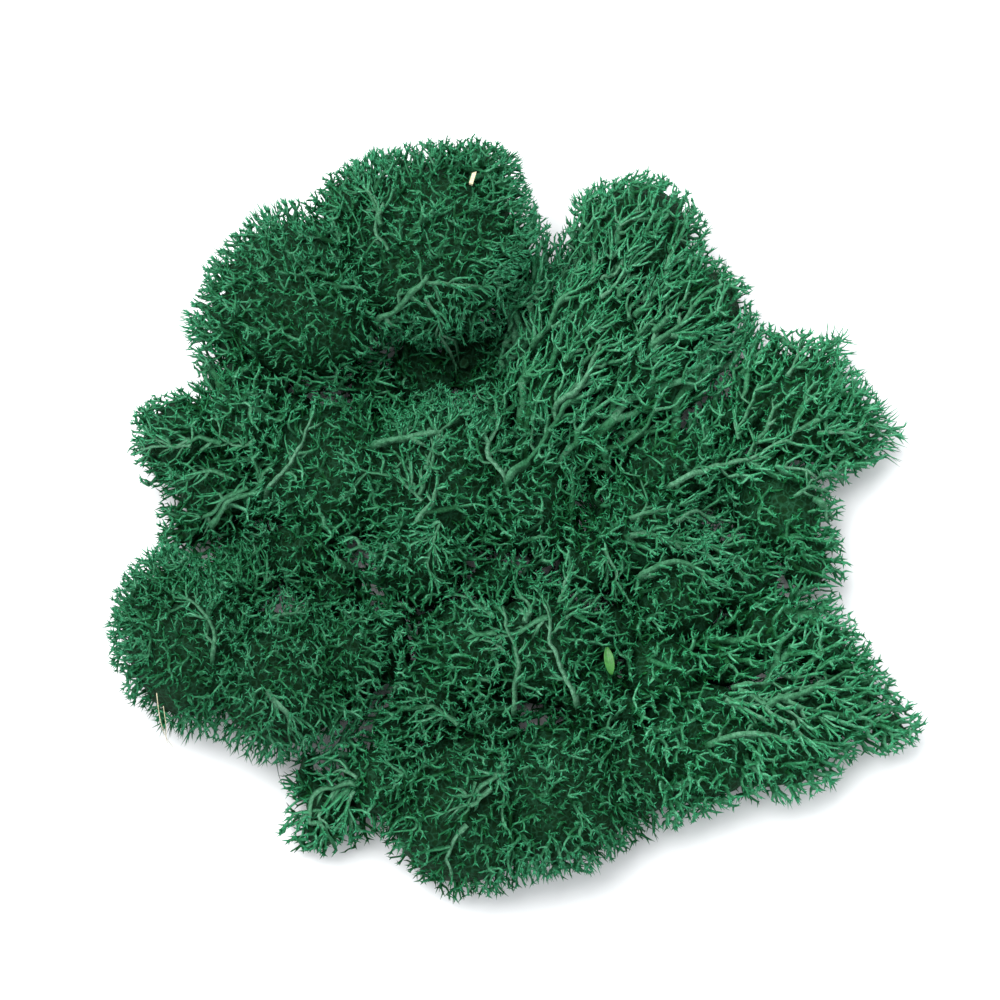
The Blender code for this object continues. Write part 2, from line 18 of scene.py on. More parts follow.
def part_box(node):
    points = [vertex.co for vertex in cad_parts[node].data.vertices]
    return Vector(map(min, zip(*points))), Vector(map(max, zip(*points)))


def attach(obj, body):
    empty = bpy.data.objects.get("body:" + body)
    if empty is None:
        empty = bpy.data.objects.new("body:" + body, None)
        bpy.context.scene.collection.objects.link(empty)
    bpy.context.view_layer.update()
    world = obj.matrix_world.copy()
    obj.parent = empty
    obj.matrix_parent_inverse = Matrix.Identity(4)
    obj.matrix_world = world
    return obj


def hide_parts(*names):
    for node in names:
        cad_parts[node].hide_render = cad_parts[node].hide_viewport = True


bl_info = {
    "name": "Reindeer Moss Clump",
    "version": (1, 0, 0),
    "blender": (4, 5, 0),
    "location": "View3D > Sidebar > Moss",
    "description": "Grows tufts of reindeer lichen over the solids of a packed heap",
    "category": "Add Mesh",
}

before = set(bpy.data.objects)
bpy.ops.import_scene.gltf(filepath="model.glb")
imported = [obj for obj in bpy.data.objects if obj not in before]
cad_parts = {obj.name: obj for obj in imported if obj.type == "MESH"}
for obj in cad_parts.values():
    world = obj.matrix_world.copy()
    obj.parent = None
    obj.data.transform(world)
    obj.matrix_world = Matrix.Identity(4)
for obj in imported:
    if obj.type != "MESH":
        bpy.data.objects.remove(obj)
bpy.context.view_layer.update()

MM = 0.001
BODY = "root"
UV_MAP = "OFBake"

# The heap was centred after it was laid out, and every place below is given before that.
HEAP_SHIFT = (0.2, 0.8)

# heart and spread settle a tuft's share of the heap, its stems spring from source, and lean says how far
# they lie over, from 0 where they stand straight out of the form to 1 where they point away from the source.
# fineness scales its tips, and tint its colours. Each row of lobes is an ellipsoid: its centre, its radius
# seen from above and its half height.
Tuft = namedtuple("Tuft", "node heart spread source lean fineness tint lobes")

TUFTS = (
    Tuft("crown_tuft", (-24, 46, 19), 24, (-22, 40, 2), 0.25, 0.92, 0.95, (
        (-16, 50, 20, 20, 18), (-40, 41, 16, 19, 17), (-9, 62.5, 20, 10, 12),
        (-3, 49, 18, 9.5, 12), (-50, 37, 13, 11.5, 12), (-29, 57, 18, 11, 14))),
    Tuft("left_shoulder_tuft", (-58, 11, 10), 14, (-48, 8, 3), 0.55, 1.0, 1.0, (
        (-63, 15, 10, 11, 12), (-56, 6, 9, 10.5, 12), (-51, 18, 11, 11.5, 14),
        (-61, -1, 6, 5.5, 6))),
    Tuft("upper_right_tuft", (20, 40, 11), 20, (-20, -14, 2), 0.85, 1.0, 1.1, (
        (23, 54.5, 12, 14, 15), (34, 41, 10, 12, 13), (14, 35, 12, 14, 15),
        (25, 27, 11, 13, 14), (5, 21, 10, 10, 14))),
    Tuft("right_tuft", (53, 14, 8), 18, (36, 6, 2), 0.6, 1.1, 1.2, (
        (53, 22, 9, 14, 11), (62, 16, 8, 8.5, 9), (47, 29, 8, 8.5, 9),
        (49, 2, 8, 12, 12), (54, -8, 7, 8, 9), (40, 20, 7, 7.5, 9))),
    Tuft("lower_left_cushion", (-50, -27, 12), 21, (-49, -24, 0), 0.15, 0.85, 0.9, (
        (-59, -25, 12, 16.5, 15), (-43, -31, 13, 16, 16), (-31, -27, 12, 11.5, 15),
        (-65, -17, 10, 10, 12), (-53, -15, 12, 9, 13))),
    Tuft("bottom_tuft", (-3, -53, 9), 22, (0, -44, 0), 0.35, 0.95, 0.95, (
        (-9, -55, 9, 17.5, 13), (8, -52, 10, 16.5, 14), (22, -48, 9, 12, 12),
        (-24, -50, 9, 10.5, 12))),
    Tuft("lower_right_tuft", (44, -36, 8), 19, (30, -30, 2), 0.7, 1.15, 1.2, (
        (34, -42, 8, 15, 12), (49, -40, 8, 14, 11), (61, -34, 7, 9.5, 9),
        (57, -25, 8, 8.5, 9), (27, -29, 9, 11, 12), (69, -39, 6, 5.5, 6))),
    Tuft("centre_tuft", (-20, 4, 12), 22, (-18, 2, 1), 0.45, 1.0, 0.97, (
        (-16, 6, 12, 18, 16), (-35, 8, 12, 17, 15), (1, 2, 11, 13, 14),
        (-40, -7, 10, 10.5, 13), (-18, -9, 11, 11.5, 15), (-1, 23, 7, 9.5, 10))),
    Tuft("bottom_centre_tuft", (1, -25, 11), 17, (0, -27, 1), 0.6, 1.0, 1.0, (
        (5, -25, 11, 14, 14), (-9, -25, 10, 13, 14), (-16, -34, 9, 10.5, 12),
        (14, -34, 9, 9.5, 12))),
    Tuft("middle_right_tuft", (28, -5, 10), 17, (22, -4, 1), 0.6, 1.0, 1.05, (
        (30, -15, 10, 12, 13), (23, -3, 10, 12.5, 14), (28, 10, 10, 11.5, 12),
        (42, -11, 8, 10.5, 11), (14, -9, 10, 9.5, 13))),
    Tuft("curled_tuft", (-34, -54, 5), 8, (-30, -50, 1), 0.7, 1.15, 1.1, (
        (-34, -54, 5, 7.5, 7), (-36, -58, 4, 5.5, 6), (-38, -50, 4, 5, 6))),
)

# Low lichen fills the clefts between the tufts.
FILLING = (
    (-27, 25, 7, 8, 9), (-49, 27, 9, 10, 12), (7, -2, 9, 9, 12), (14, 13, 9, 8, 12),
    (47, -21, 8, 9, 10), (20, -37, 8, 8, 10), (-22, -40, 8, 8, 10), (-34, -14, 9, 9, 12),
    (38, -27, 8, 8, 10), (-42, 20, 9, 8, 12), (37, 10, 8, 8, 9), (-4, -12, 9, 8, 11),
    (-24, -22, 9, 8, 11), (12, -40, 8, 7, 10),
    (-18, 30, 4, 10, 6), (-6, 33, 4, 11, 6), (0, 40, 4, 8, 6), (-25, -26, 7, 9, 10),
    (18, -21, 7, 9, 10), (-5, -38, 7, 9, 10), (-50, -6, 6, 9, 8),
)

# A stray branch reaches past the form: its root, its tip and how thick its bush of tips is.
STRAYS = (
    ((60, 17, 8), (75, 18.5, 6), 2.0),
    ((54, 29, 8), (63.5, 38.5, 6), 1.8),
    ((55, -4, 7), (60, -15, 5), 2.4),
    ((61, -36, 7), (75, -40, 5), 2.2),
    ((58, -28, 7), (69.5, -27, 6), 2.2),
    ((-62, 12, 9), (-73.5, 15, 7), 2.2),
    ((-59, 4, 7), (-66, -4, 5), 2.0),
    ((8, 50, 12), (3, 56, 14), 1.8),
    ((-36, -54, 5), (-42, -60, 4), 1.6),
)

# A bare stem: its tuft, the places that it lies over on the form, and its radius at its foot and its end.
TRUNKS = (
    ("upper_right_tuft", ((-2, 3), (3, 10), (8, 17), (12, 22)), 0.9, 0.6),
    ("upper_right_tuft", ((7, 18), (12, 24), (16, 31)), 0.8, 0.5),
    ("upper_right_tuft", ((25, 30), (30, 34), (35, 40)), 0.8, 0.5),
    ("upper_right_tuft", ((3, 31), (8, 38), (14, 44)), 0.8, 0.45),
    ("centre_tuft", ((-26, 11), (-16, 12), (-10, 17)), 0.9, 0.35),
    ("centre_tuft", ((-2, 3), (-5, 10), (-3, 17)), 0.6, 0.3),
    ("centre_tuft", ((-46, 2), (-40, 9), (-38, 17)), 0.7, 0.3),
    ("bottom_centre_tuft", ((-1, -39), (0, -30), (-3, -19)), 0.65, 0.3),
    ("bottom_centre_tuft", ((11, -37), (7, -29), (4, -18)), 0.65, 0.3),
    ("middle_right_tuft", ((23, -14), (30, -11), (37, -15)), 0.75, 0.35),
    ("right_tuft", ((28, 4), (38, 8), (46, 12)), 0.7, 0.3),
    ("lower_right_tuft", ((46, -37), (54, -34), (62, -30)), 0.85, 0.4),
    ("lower_right_tuft", ((35, -44), (42, -42), (50, -44)), 0.75, 0.4),
    ("lower_left_cushion", ((-55, -30), (-56, -23), (-61, -18)), 0.6, 0.3),
    ("left_shoulder_tuft", ((-57, -3), (-50, 3), (-45, 7)), 0.8, 0.35),
    ("crown_tuft", ((-26, 34), (-19, 38), (-16, 41)), 0.8, 0.45),
    ("curled_tuft", ((-30, -51), (-36, -52), (-38, -57), (-34, -60)), 0.7, 0.4),
)

# Loose hairs, from where each leaves its tuft to its free end, and how thick each is beside the usual hair.
Hair = namedtuple("Hair", "name slot thickness pale route")
HAIRS = (
    Hair("pale_straw_long", "pale_wood", 1.0, True,
         ((-65.3, -36, 22.5), (-65, -39.8, 18), (-64.4, -41.9, 12), (-63.6, -42.6, 6))),
    Hair("pale_straw_short", "pale_wood", 0.8, True,
         ((-64.2, -38, 20.5), (-64, -40.8, 16.5), (-64.4, -42.1, 11), (-64.3, -42.5, 7))),
    Hair("dark_hair", "lower_left_cushion_lichen", 1.2, False,
         ((-43.4, -40, 9), (-44.2, -44, 8), (-44, -47.5, 6), (-43.2, -49.5, 4))),
)
HAIR_STEP = 0.8
HAIR_TAPER = 0.6
HAIR_WELD = 1e-7

# The outer form: how far lobes melt into each other, then the broad swells, rounded heads and sprigs on it.
BLEND = 2.6
BLEND_SWELL = 1.0
RELIEF_PITCH, RELIEF_HEIGHT = 12.0, 2.6
HEAD_PITCH, HEAD_HEIGHT = 8.0, 3.0
HEAD_WARP, HEAD_WARP_PITCH = 0.25, 1.7
SPRIG_PITCH, SPRIG_HEIGHT = 3.0, 2.1
STRAY_TAPER = 0.55
CHUNK = 20000

# Tips: a dense outer layer, and a sparser one under it. Those that face down are spaced more widely.
CANDIDATES_PER_AREA = 6.5
NEAR_FORM = 2.5
TIP_DEPTH = 1.3
UNDER_SHARE = 0.4
UNDER_DEPTHS = (2.0, 6.0)
UNDER_SPACING = 1.25
UNDER_BARE = 0.25
BELOW_SLOPE, BELOW_SPACING = -0.1, 1.5
SPACING_RANGE = (0.85, 1.3)
WIDTH_RANGE = (0.85, 1.2)
LOWEST, HIGHEST = 0.5, 39.2

# Where tips are missing: near the source of a leaning tuft, as a share of its reach, and in small pits.
BARE_SHARE = 0.75
BARE_REACH = 0.98
BARE_UP_TO, BARE_FADE = 0.85, 0.5
PIT_PITCH, PIT_LEVEL, PIT_EDGE, PIT_SHARE = 3.6, 0.19, 4, 0.85

# The way that branches grow wanders from place to place.
WANDER, WANDER_PITCH = 0.7, 6.0

# Bare stems: dropped onto the form from TOP, bent by two sizes of noise, and set with side arms.
TOP = 42.0
DROP_STEPS, DROP_SHARE, DROP_RISE = 24, 0.8, 1.0
TRUNK_SPACING = 0.8
TRUNK_SINK, STEM_SINK = 0.9, 1.25
STEM_OUT = 0.3
STEM_BENDS = ((5.0, 1.3), (1.7, 0.3))
STEM_LUMPS, STEM_LUMP_PITCH = 0.4, 1.3
STEM_LEAST = 3
STEM_FOOT_SINK = 3.0
STEM_DIPS, STEM_END = (0.6, 1.8), 0.5
STEM_CLEAR = 1.1
ARM_SPACING, ARM_JITTER = 2.6, (0.5, 1.3)
ARM_ANGLES, ARM_LENGTHS = (0.6, 1.15), (1.8, 3.6)
ARM_BEND, ARM_TURN, ARM_REST = 0.5, (0.45, 0.55), 0.6
ARM_FADE = (0.8, 0.5)
STEMS_PER_LEAN = 0.85
STEM_PLACES, STEM_STRAY, STEM_BOW = (0.0, 0.85), 3, (-0.15, 0.15)
STEM_LENGTHS, STEM_WIDTHS, STEM_TAPER = (6.0, 12.0), (0.4, 0.75), 0.55
TRUNK_MARGIN, TRUNK_UNDER = 0.1, 1.0
UPSTREAM = 2

# One round of joining: how long its branches are, how far a fork gathers them and how many at most, their
# segments, how deep their forks lie, how much longer they run in a leaning tuft, and how near a bare stem
# has to be to catch one, or 0 where none is caught.
Level = namedtuple("Level", "step reach most segments depth running catch")
LEVELS = (
    Level(0.6, 1.5, 4, 1, 0.2, 0.0, 0),
    Level(1.15, 2.2, 3, 2, 0.9, 0.1, 1.3),
    Level(1.8, 3.4, 3, 3, 2.2, 0.4, 2.4),
    Level(2.4, 5.2, 3, 3, 4.0, 1.0, 3.6),
    Level(3.2, 8.0, 4, 3, 6.0, 1.4, 0),
    Level(4.5, 12.0, 5, 2, 8.0, 1.6, 0),
)
ROOT_STEP = 6.0
STEP_RANGE = (0.7, 1.3)
LONE_REACH = 1.15
FORK_DRIFT, FORK_DRIFT_PITCH = 0.5, 1.3
SHAKE, LEAN_SHAKE = 0.3, 0.4
LEAN_SHALLOW = 0.7
FORK_FOLLOWS = 0.6
FORK_CLEAR, FLOOR_GAP = 0.25, 0.1
THICKENING, THICKEST = 2.35, 1.0
LEAVE_TURN, ARRIVE_TURN, ARRIVE_SPAN = 0.3, 0.8, 0.2
BOW = 0.1
KINK, KINK_PITCH = 0.2, 1.3
INSIDE_FROM, INSIDE_SHARE = 2, 0.6
FLARE, FLARE_FIT, FLARE_MOST = 0.5, 0.95, 1.9
BARE_AGE = 0.85

# Painted shade darkens the lichen inside the heap and near the surface it lies on; painted light pales it
# outside.
SHADE_DEPTH = 6.5
LIGHT_SHARE, TONE_SPREAD = 0.75, 0.34
LOW_SHADE, SHADE_HEIGHT = 0.25, 14.0
THICK_FROM = 0.5
FINE_SIDES, THICK_SIDES = 3, 6

# The inside, a rough body in painted shade: how far it stays in from a lobe's skin, sideways and upwards.
CORE_DEPTH = np.array([3.8, 3.8, 5.0])
CORE_LEAST = 0.5
CORE_DETAIL = 3
CORE_ROUGHNESS, CORE_PITCH = 1.6, 2.0
CORE_FLOOR = 0.1
CORE_SHADE, CORE_SHADE_AGE = 0.3, 1.0

# The bake's map: its margin, the part that the painted shade and tone and the age fill, and the room that
# each corner gets.
MAP_MARGIN, MAP_FILL, MAP_ROOM = 0.01, 0.94, 0.03

# Ages at which the colours of tip, stem, trunk and painted-shade inside stand, and tints over painted shade
# and tone and two grains.
AGE_STOPS = (0.0, 0.22, 0.5, 0.9, 0.97)
SHADED_INSIDE_AGES = (0.93, 0.95)
# The shade and tone tints run from painted shade, dark, to painted light, paler.
SHADE_AND_TONE_STOPS = ((0.0, (0.02, 0.18, 0.04)), (0.35, (0.20, 0.45, 0.24)), (0.62, (1.0, 1.02, 0.98)),
              (1.0, (3.4, 1.8, 2.3)))
MOTTLE_SCALE, MOTTLE_STOPS = 1400.0, ((0.35, (0.60, 0.72, 0.65)), (0.65, (1.40, 1.22, 1.30)))
SPECKLE_SCALE, SPECKLE_STOPS = 4200.0, ((0.4, (0.72, 0.80, 0.76)), (0.6, (1.26, 1.18, 1.22)))
# The net is painted shade: darkened stems on the dark inside.
NET_SCALE, NET_SHADE, NET_WIDTH = 750.0, 0.28, 0.16
LICHEN_ROUGHNESS, LICHEN_SHINE = 0.75, 0.12
GRIT_SCALES, GRIT_STRENGTH, GRIT_DEPTH = (5200.0, 2100.0), 0.9, 0.00036

# Fibre grain of the chip and hairs: its scale along and across, its shades and its relief.
FIBRE_SCALE = (300.0, 5000.0, 5000.0)
FIBRE_STOPS = ((0.35, 0.6), (0.6, 1.2))
FIBRE_ROUGHNESS, FIBRE_STRENGTH, FIBRE_DEPTH = 0.6, 0.5, 0.00008

# The grain runs along the chip, and the leaf lies turned and tilted as its solid does.
CHIP_TURN = math.radians(75)
LEAF_TURN, LEAF_TILT = math.radians(100), math.radians(-10)
LEAF_LENGTH, LEAF_WIDTH, LEAF_THICKNESS = 5.0, 1.7, 0.14
LEAF_END, LEAF_TAPER, LEAF_FULLNESS = 0.02, 2.2, 0.75
LEAF_ARCH, LEAF_FOLD, LEAF_FOLD_POWER, LEAF_RIB = 0.45, 0.22, 1.5, 0.05
RIB_WIDTH, RIB_HEIGHT = 1 / 6, 1.5
LEAF_VEINS, VEIN_SLANT, VEIN_HEIGHT = 9, 0.12, 0.4
LEAF_ROWS, LEAF_COLUMNS = 40, 16
LEAF_MOTTLE_SCALE, LEAF_SHADES = 1800.0, ((0.3, 0.7), (0.7, 1.3))
LEAF_ROUGHNESS, LEAF_GRAIN, LEAF_RELIEF, LEAF_RELIEF_DEPTH = 0.45, 6000.0, 0.4, 0.00008

# The stage, in metres but for the place that the camera looks at.
TARGET = (-2.8, 3.1, 15.0)
SENSOR = 36.0
FAR_CLIP = 10
FLOOR_SIZE, FLOOR_ROUGHNESS = 6.0, 0.9
SKY_COLOUR = (0.95, 0.98, 1.0)
KEY_SIZE, KEY_PLACE = 0.9, (-0.32, 0.24, 1.0)


def unit(vectors):
    return vectors / np.maximum(np.linalg.norm(vectors, axis=-1, keepdims=True), 1e-9)


SHIFT = np.array([*HEAP_SHIFT, 0.0])
LOBES = np.array([lobe for tuft in TUFTS for lobe in tuft.lobes] + list(FILLING))
CENTRES = LOBES[:, :3] + SHIFT
RADII = np.array([(radius, radius, rise) for *_, radius, rise in LOBES])
HEARTS = np.array([t.heart for t in TUFTS]) + SHIFT
SPREADS = np.array([t.spread for t in TUFTS])
SOURCES = np.array([t.source for t in TUFTS]) + SHIFT
LEANS = np.array([t.lean for t in TUFTS])
FINENESS = np.array([t.fineness for t in TUFTS])
STRAY_ROOTS = np.array([root for root, _, _ in STRAYS]) + SHIFT
STRAY_TIPS = np.array([tip for _, tip, _ in STRAYS]) + SHIFT
STRAY_BUSH = np.array([bush for _, _, bush in STRAYS])


def form_at(points):
    """(signed distance, outward direction) of the heap's outer form at each point."""
    parts = [form_of_chunk(points[k:k + CHUNK]) for k in range(0, len(points), CHUNK)]
    return np.concatenate([p[0] for p in parts]), np.concatenate([p[1] for p in parts])


def form_of_chunk(points):
    offset = points[:, None, :] - CENTRES[None]
    steep = offset / RADII ** 2
    reach = np.linalg.norm(offset / RADII, axis=2)
    slope = np.maximum(np.linalg.norm(steep, axis=2), 1e-9)
    lobes = reach * (reach - 1) / slope
    along = STRAY_TIPS - STRAY_ROOTS
    share = np.einsum("nsk,sk->ns", points[:, None, :] - STRAY_ROOTS, along) / (along ** 2).sum(1)
    share = np.clip(share, 0, 1)
    aside = points[:, None, :] - STRAY_ROOTS - share[:, :, None] * along
    strays = np.linalg.norm(aside, axis=2) - STRAY_BUSH * (1 - STRAY_TAPER * share)
    distance = np.concatenate([lobes, strays], axis=1)
    outward = np.concatenate([steep / slope[:, :, None], unit(aside)], axis=1)
    nearest = distance.min(1)
    weight = np.exp(-(distance - nearest[:, None]) / BLEND)
    total = weight.sum(1)
    return nearest - BLEND * np.log(total) + BLEND_SWELL, unit((outward * weight[:, :, None]).sum(1))


def owner_of(points):
    """The number of the tuft that each point belongs to."""
    power = ((points[:, None, :] - HEARTS) ** 2).sum(2) - SPREADS ** 2
    return power.argmin(1)


def noise_vectors(points, pitch):
    return np.array([noise.noise_vector(Vector(p)) for p in points / pitch])


def head_height(points, pitch):
    """How far the form bulges at each point: small rounded heads with creases between them."""
    bent = points / pitch + HEAD_WARP * noise_vectors(points, pitch * HEAD_WARP_PITCH)
    return np.array([0.5 - noise.voronoi(Vector(p))[0][0] for p in bent])


def grow_direction(points, outward, owners):
    """The way that a branch grows at each point."""
    lean = LEANS[owners][:, None]
    away = unit(points - SOURCES[owners])
    wander = noise_vectors(points, WANDER_PITCH) * WANDER
    return unit(outward * (1 - lean) + away * lean + wander)


def surface_points(per_area, draw):
    """Points spread evenly at random over the outer form, and the way out of it at each."""
    points = []
    for centre, radii in zip(CENTRES, RADII):
        count = int(per_area * 4 * math.pi * radii[0] * (radii[0] + 2 * radii[2]) / 3)
        points.append(centre + unit(draw.normal(size=(count, 3))) * radii)
    for root, tip, bush in zip(STRAY_ROOTS, STRAY_TIPS, STRAY_BUSH):
        count = int(per_area * 2 * math.pi * bush * np.linalg.norm(tip - root))
        share = draw.random((count, 1))
        aside = unit(draw.normal(size=(count, 3))) * bush * (1 - STRAY_TAPER * share)
        points.append(root + (tip - root) * share + aside)
    points = np.concatenate(points)
    distance, outward = form_at(points)
    near = np.abs(distance) < NEAR_FORM
    points, distance, outward = points[near], distance[near], outward[near]
    return points - outward * distance[:, None], outward


def search_tree(points):
    tree = kdtree.KDTree(len(points))
    for k, point in enumerate(points):
        tree.insert(point, k)
    tree.balance()
    return tree


def thinned(points, spacing):
    """Indices of points that keep the given spacing from each other, taken in the order they come."""
    tree = search_tree(points)
    dropped = np.zeros(len(points), bool)
    kept = []
    for k, point in enumerate(points):
        if dropped[k]:
            continue
        kept.append(k)
        for _, near, _ in tree.find_range(point, spacing[k]):
            dropped[near] = True
    return np.array(kept)


def grouped(points, owners, reach, most):
    """Numbers the groups of near points of one tuft that a fork carries. A lone point joins a group by it."""
    tree = search_tree(points)
    group = np.full(len(points), -1)
    sizes = []
    for k, point in enumerate(points):
        if group[k] >= 0:
            continue
        members = [near for _, near, _ in tree.find_range(point, reach)
                   if group[near] < 0 and owners[near] == owners[k]]
        members = members[:most]
        if len(members) == 1:
            hosts = [near for _, near, _ in tree.find_range(point, reach * LONE_REACH)
                     if group[near] >= 0 and owners[near] == owners[k] and sizes[group[near]] <= most]
            if hosts:
                group[k] = group[hosts[0]]
                sizes[group[k]] += 1
                continue
        group[members] = len(sizes)
        sizes.append(len(members))
    return group, len(sizes)


def group_means(values, group, members):
    sums = [np.bincount(group, values[:, axis], len(members)) for axis in range(3)]
    return np.stack(sums, axis=1) / members[:, None]


def smooth_route(route, spacing):
    """Points read from a Catmull-Rom curve through the route's own points."""
    first = 2 * np.array(route[0]) - route[1]
    last = 2 * np.array(route[-1]) - route[-2]
    knots = [first, *np.array(route, float), last]
    points = []
    for a, b, c, d in zip(knots, knots[1:], knots[2:], knots[3:]):
        steps = max(1, round(float(np.linalg.norm(c - b)) / spacing))
        for t in np.arange(steps) / steps:
            points.append(0.5 * (2 * b + (c - a) * t + (2 * a - 5 * b + 4 * c - d) * t ** 2
                                 + (3 * b - a - 3 * c + d) * t ** 3))
    points.append(knots[-2])
    return np.array(points)


def on_form(places, depth):
    """Places seen from above, dropped onto the form and sunk in it by a depth."""
    points = np.column_stack([places, np.full(len(places), TOP)])
    for _ in range(DROP_STEPS):
        distance, _ = form_at(points)
        drop = np.maximum(distance + depth, -DROP_RISE) * DROP_SHARE
        points[:, 2] = np.maximum(points[:, 2] - drop, LOWEST)
    return points


def bareness(points, owners):
    """The share of tips missing at each point, so that a leaning tuft shows its stems near its source."""
    away = np.linalg.norm(points - SOURCES[owners], axis=1)
    reach = np.array([np.quantile(away[owners == k], BARE_REACH) for k in range(len(TUFTS))])[owners]
    bare = BARE_SHARE * LEANS[owners] * np.clip((BARE_UP_TO - away / reach) / BARE_FADE, 0, 1)
    pits = noise_vectors(points, PIT_PITCH)[:, 1] - PIT_LEVEL
    return bare + np.clip(pits * PIT_EDGE, 0, PIT_SHARE)


def tips_on_form(sizes, draw):
    """(places, outward directions, owners) of the branch tips: an outer layer over heads, creases and pits,
    and a sparser one below it."""
    points, outward = surface_points(CANDIDATES_PER_AREA, draw)
    order = draw.permutation(len(points))
    points, outward = points[order], outward[order]
    bulge = head_height(points, HEAD_PITCH) * HEAD_HEIGHT
    bulge += noise_vectors(points, RELIEF_PITCH)[:, 0] * RELIEF_HEIGHT
    bulge += noise_vectors(points, SPRIG_PITCH)[:, 2] * SPRIG_HEIGHT
    count = len(points)
    under = draw.random(count) < UNDER_SHARE
    depth = np.where(under, draw.uniform(*UNDER_DEPTHS, count), draw.random(count) ** 2 * TIP_DEPTH)
    points = points + outward * (bulge - depth)[:, None]
    points[:, 2] = np.minimum(points[:, 2], HIGHEST)
    owners = owner_of(points)
    bare = bareness(points, owners) * np.where(under, UNDER_BARE, 1.0)
    keep = (points[:, 2] > LOWEST) & (draw.random(count) > bare)
    points, outward, owners, under = points[keep], outward[keep], owners[keep], under[keep]
    spacing = sizes.tip_spacing / MM * FINENESS[owners] * draw.uniform(*SPACING_RANGE, len(points))
    spacing *= np.where(under, UNDER_SPACING, 1.0) * np.where(outward[:, 2] < BELOW_SLOPE, BELOW_SPACING, 1.0)
    layers = [np.flatnonzero(layer) for layer in (under, ~under)]
    kept = np.concatenate([layer[thinned(points[layer], spacing[layer])] for layer in layers])
    return points[kept], outward[kept], owners[kept]


# A bare stem or one of its arms. bare says that it is one of the listed stems.
Stem = namedtuple("Stem", "points ways widths owners bare")


def bare_stems(draw):
    """The listed and the scattered stems, each with its arms."""
    names = [tuft.node for tuft in TUFTS]
    lines = [(smooth_route(route, TRUNK_SPACING) + SHIFT[:2], foot, end, names.index(node), True)
             for node, route, foot, end in TRUNKS]
    stems = []
    for places, foot, end, owner, bare in lines + scattered_lines(draw):
        share = np.linspace(0, 1, len(places))
        widths = foot * (1 - share) + end * share
        stem = laid_stem(places, widths, owner, bare)
        if stem is None:
            continue
        laid = len(stem.points)
        stems += [stem, *arms_of(places[:laid], widths[:laid], owner, draw)]
    return [stem for stem in stems if stem is not None]


def arms_of(places, widths, owner, draw):
    """Short arms that leave a stem by turns on either side and bend to run along with it."""
    along = unit(np.gradient(places, axis=0))
    side = draw.choice((-1, 1))
    arms = []
    for k in range(int(len(places) * TRUNK_SPACING / ARM_SPACING)):
        at = min(int((k + draw.uniform(*ARM_JITTER)) * ARM_SPACING / TRUNK_SPACING), len(places) - 1)
        side = -side
        angle = side * draw.uniform(*ARM_ANGLES)
        turn = np.array([[math.cos(angle), math.sin(angle)], [-math.sin(angle), math.cos(angle)]])
        away = along[at] @ turn
        long = draw.uniform(*ARM_LENGTHS)
        bend = places[at] + away * long * ARM_BEND
        end = bend + (away * ARM_TURN[0] + along[at] * ARM_TURN[1]) * long * ARM_REST
        arm = smooth_route((places[at], bend, end), TRUNK_SPACING)
        arms.append(laid_stem(arm, widths[at] * np.linspace(*ARM_FADE, len(arm)), owner, False))
    return arms


def scattered_lines(draw):
    """Lines for bare stems on the leaning tufts, along the way that each tuft's branches run."""
    lines = []
    for number, tuft in enumerate(TUFTS):
        centre = np.array(tuft.heart[:2]) + HEAP_SHIFT
        for _ in range(int(tuft.lean * tuft.spread * STEMS_PER_LEAN)):
            start = centre + unit(draw.normal(size=2)) * tuft.spread * draw.uniform(*STEM_PLACES)
            away = unit(start - SOURCES[number][:2] + draw.normal(size=2) * STEM_STRAY)
            long = draw.uniform(*STEM_LENGTHS)
            bow = np.array([-away[1], away[0]]) * draw.uniform(*STEM_BOW) * long
            route = (start - away * long * 0.5, start + bow, start + away * long * 0.5)
            foot = draw.uniform(*STEM_WIDTHS)
            lines.append((smooth_route(route, TRUNK_SPACING), foot, foot * STEM_TAPER, number, False))
    return lines


def laid_stem(places, widths, owner, bare):
    """Drops one stem onto the form, rough and uneven, as far as it stays on it. A scattered one also stays in
    its tuft, and a listed one lies shallow, with its foot sunk in. None where too little of it is left."""
    points = on_form(places, TRUNK_SINK if bare else STEM_SINK)
    bends = [noise_vectors(points, pitch) * height for pitch, height in STEM_BENDS]
    points += bends[0] + bends[1]
    widths = widths * (1 + STEM_LUMPS * noise_vectors(points, STEM_LUMP_PITCH)[:, 0])
    outside = form_at(points)[0] > STEM_OUT
    if not bare:
        outside |= owner_of(points) != owner
    last = np.flatnonzero(outside)[0] if outside.any() else len(points)
    if last < STEM_LEAST:
        return None
    points, widths = points[:last], widths[:last]
    if bare:
        points[0, 2] -= STEM_FOOT_SINK
    points[-2:, 2] -= STEM_DIPS
    widths[-1] *= STEM_END
    points[:, 2] = np.maximum(points[:, 2], widths * STEM_CLEAR + LOWEST / 2)
    return Stem(points, unit(np.gradient(points, axis=0)), widths, np.full(len(points), owner), bare)


def clear_of_stems(tips, stems):
    """Whether each tip leaves the listed stems in view."""
    clear = np.ones(len(tips), bool)
    for stem in stems:
        if not stem.bare:
            continue
        for place, wide in zip(stem.points[1:-1], stem.widths[1:-1]):
            aside = np.linalg.norm(tips[:, :2] - place[:2], axis=1)
            over = (aside < wide + TRUNK_MARGIN) & (tips[:, 2] > place[2] - TRUNK_UNDER)
            clear &= ~over
    return clear


# All the bare stems' points in one row, how far back the point just upstream of each is, and their tree.
StemPoints = namedtuple("StemPoints", "points ways widths owners upstream tree")
# The ends that a round of joining works on, and the branches that it makes.
Ends = namedtuple("Ends", "points ways widths owners")
Branches = namedtuple("Branches", "curves widths ages owners")


def stem_points(stems):
    points, ways, widths, owners = (np.concatenate([stem[k] for stem in stems]) for k in range(4))
    places = [np.arange(len(stem.points)) for stem in stems]
    upstream = np.concatenate([np.maximum(place - UPSTREAM, 0) - place for place in places])
    return StemPoints(points, ways, widths, owners, upstream, search_tree(points))


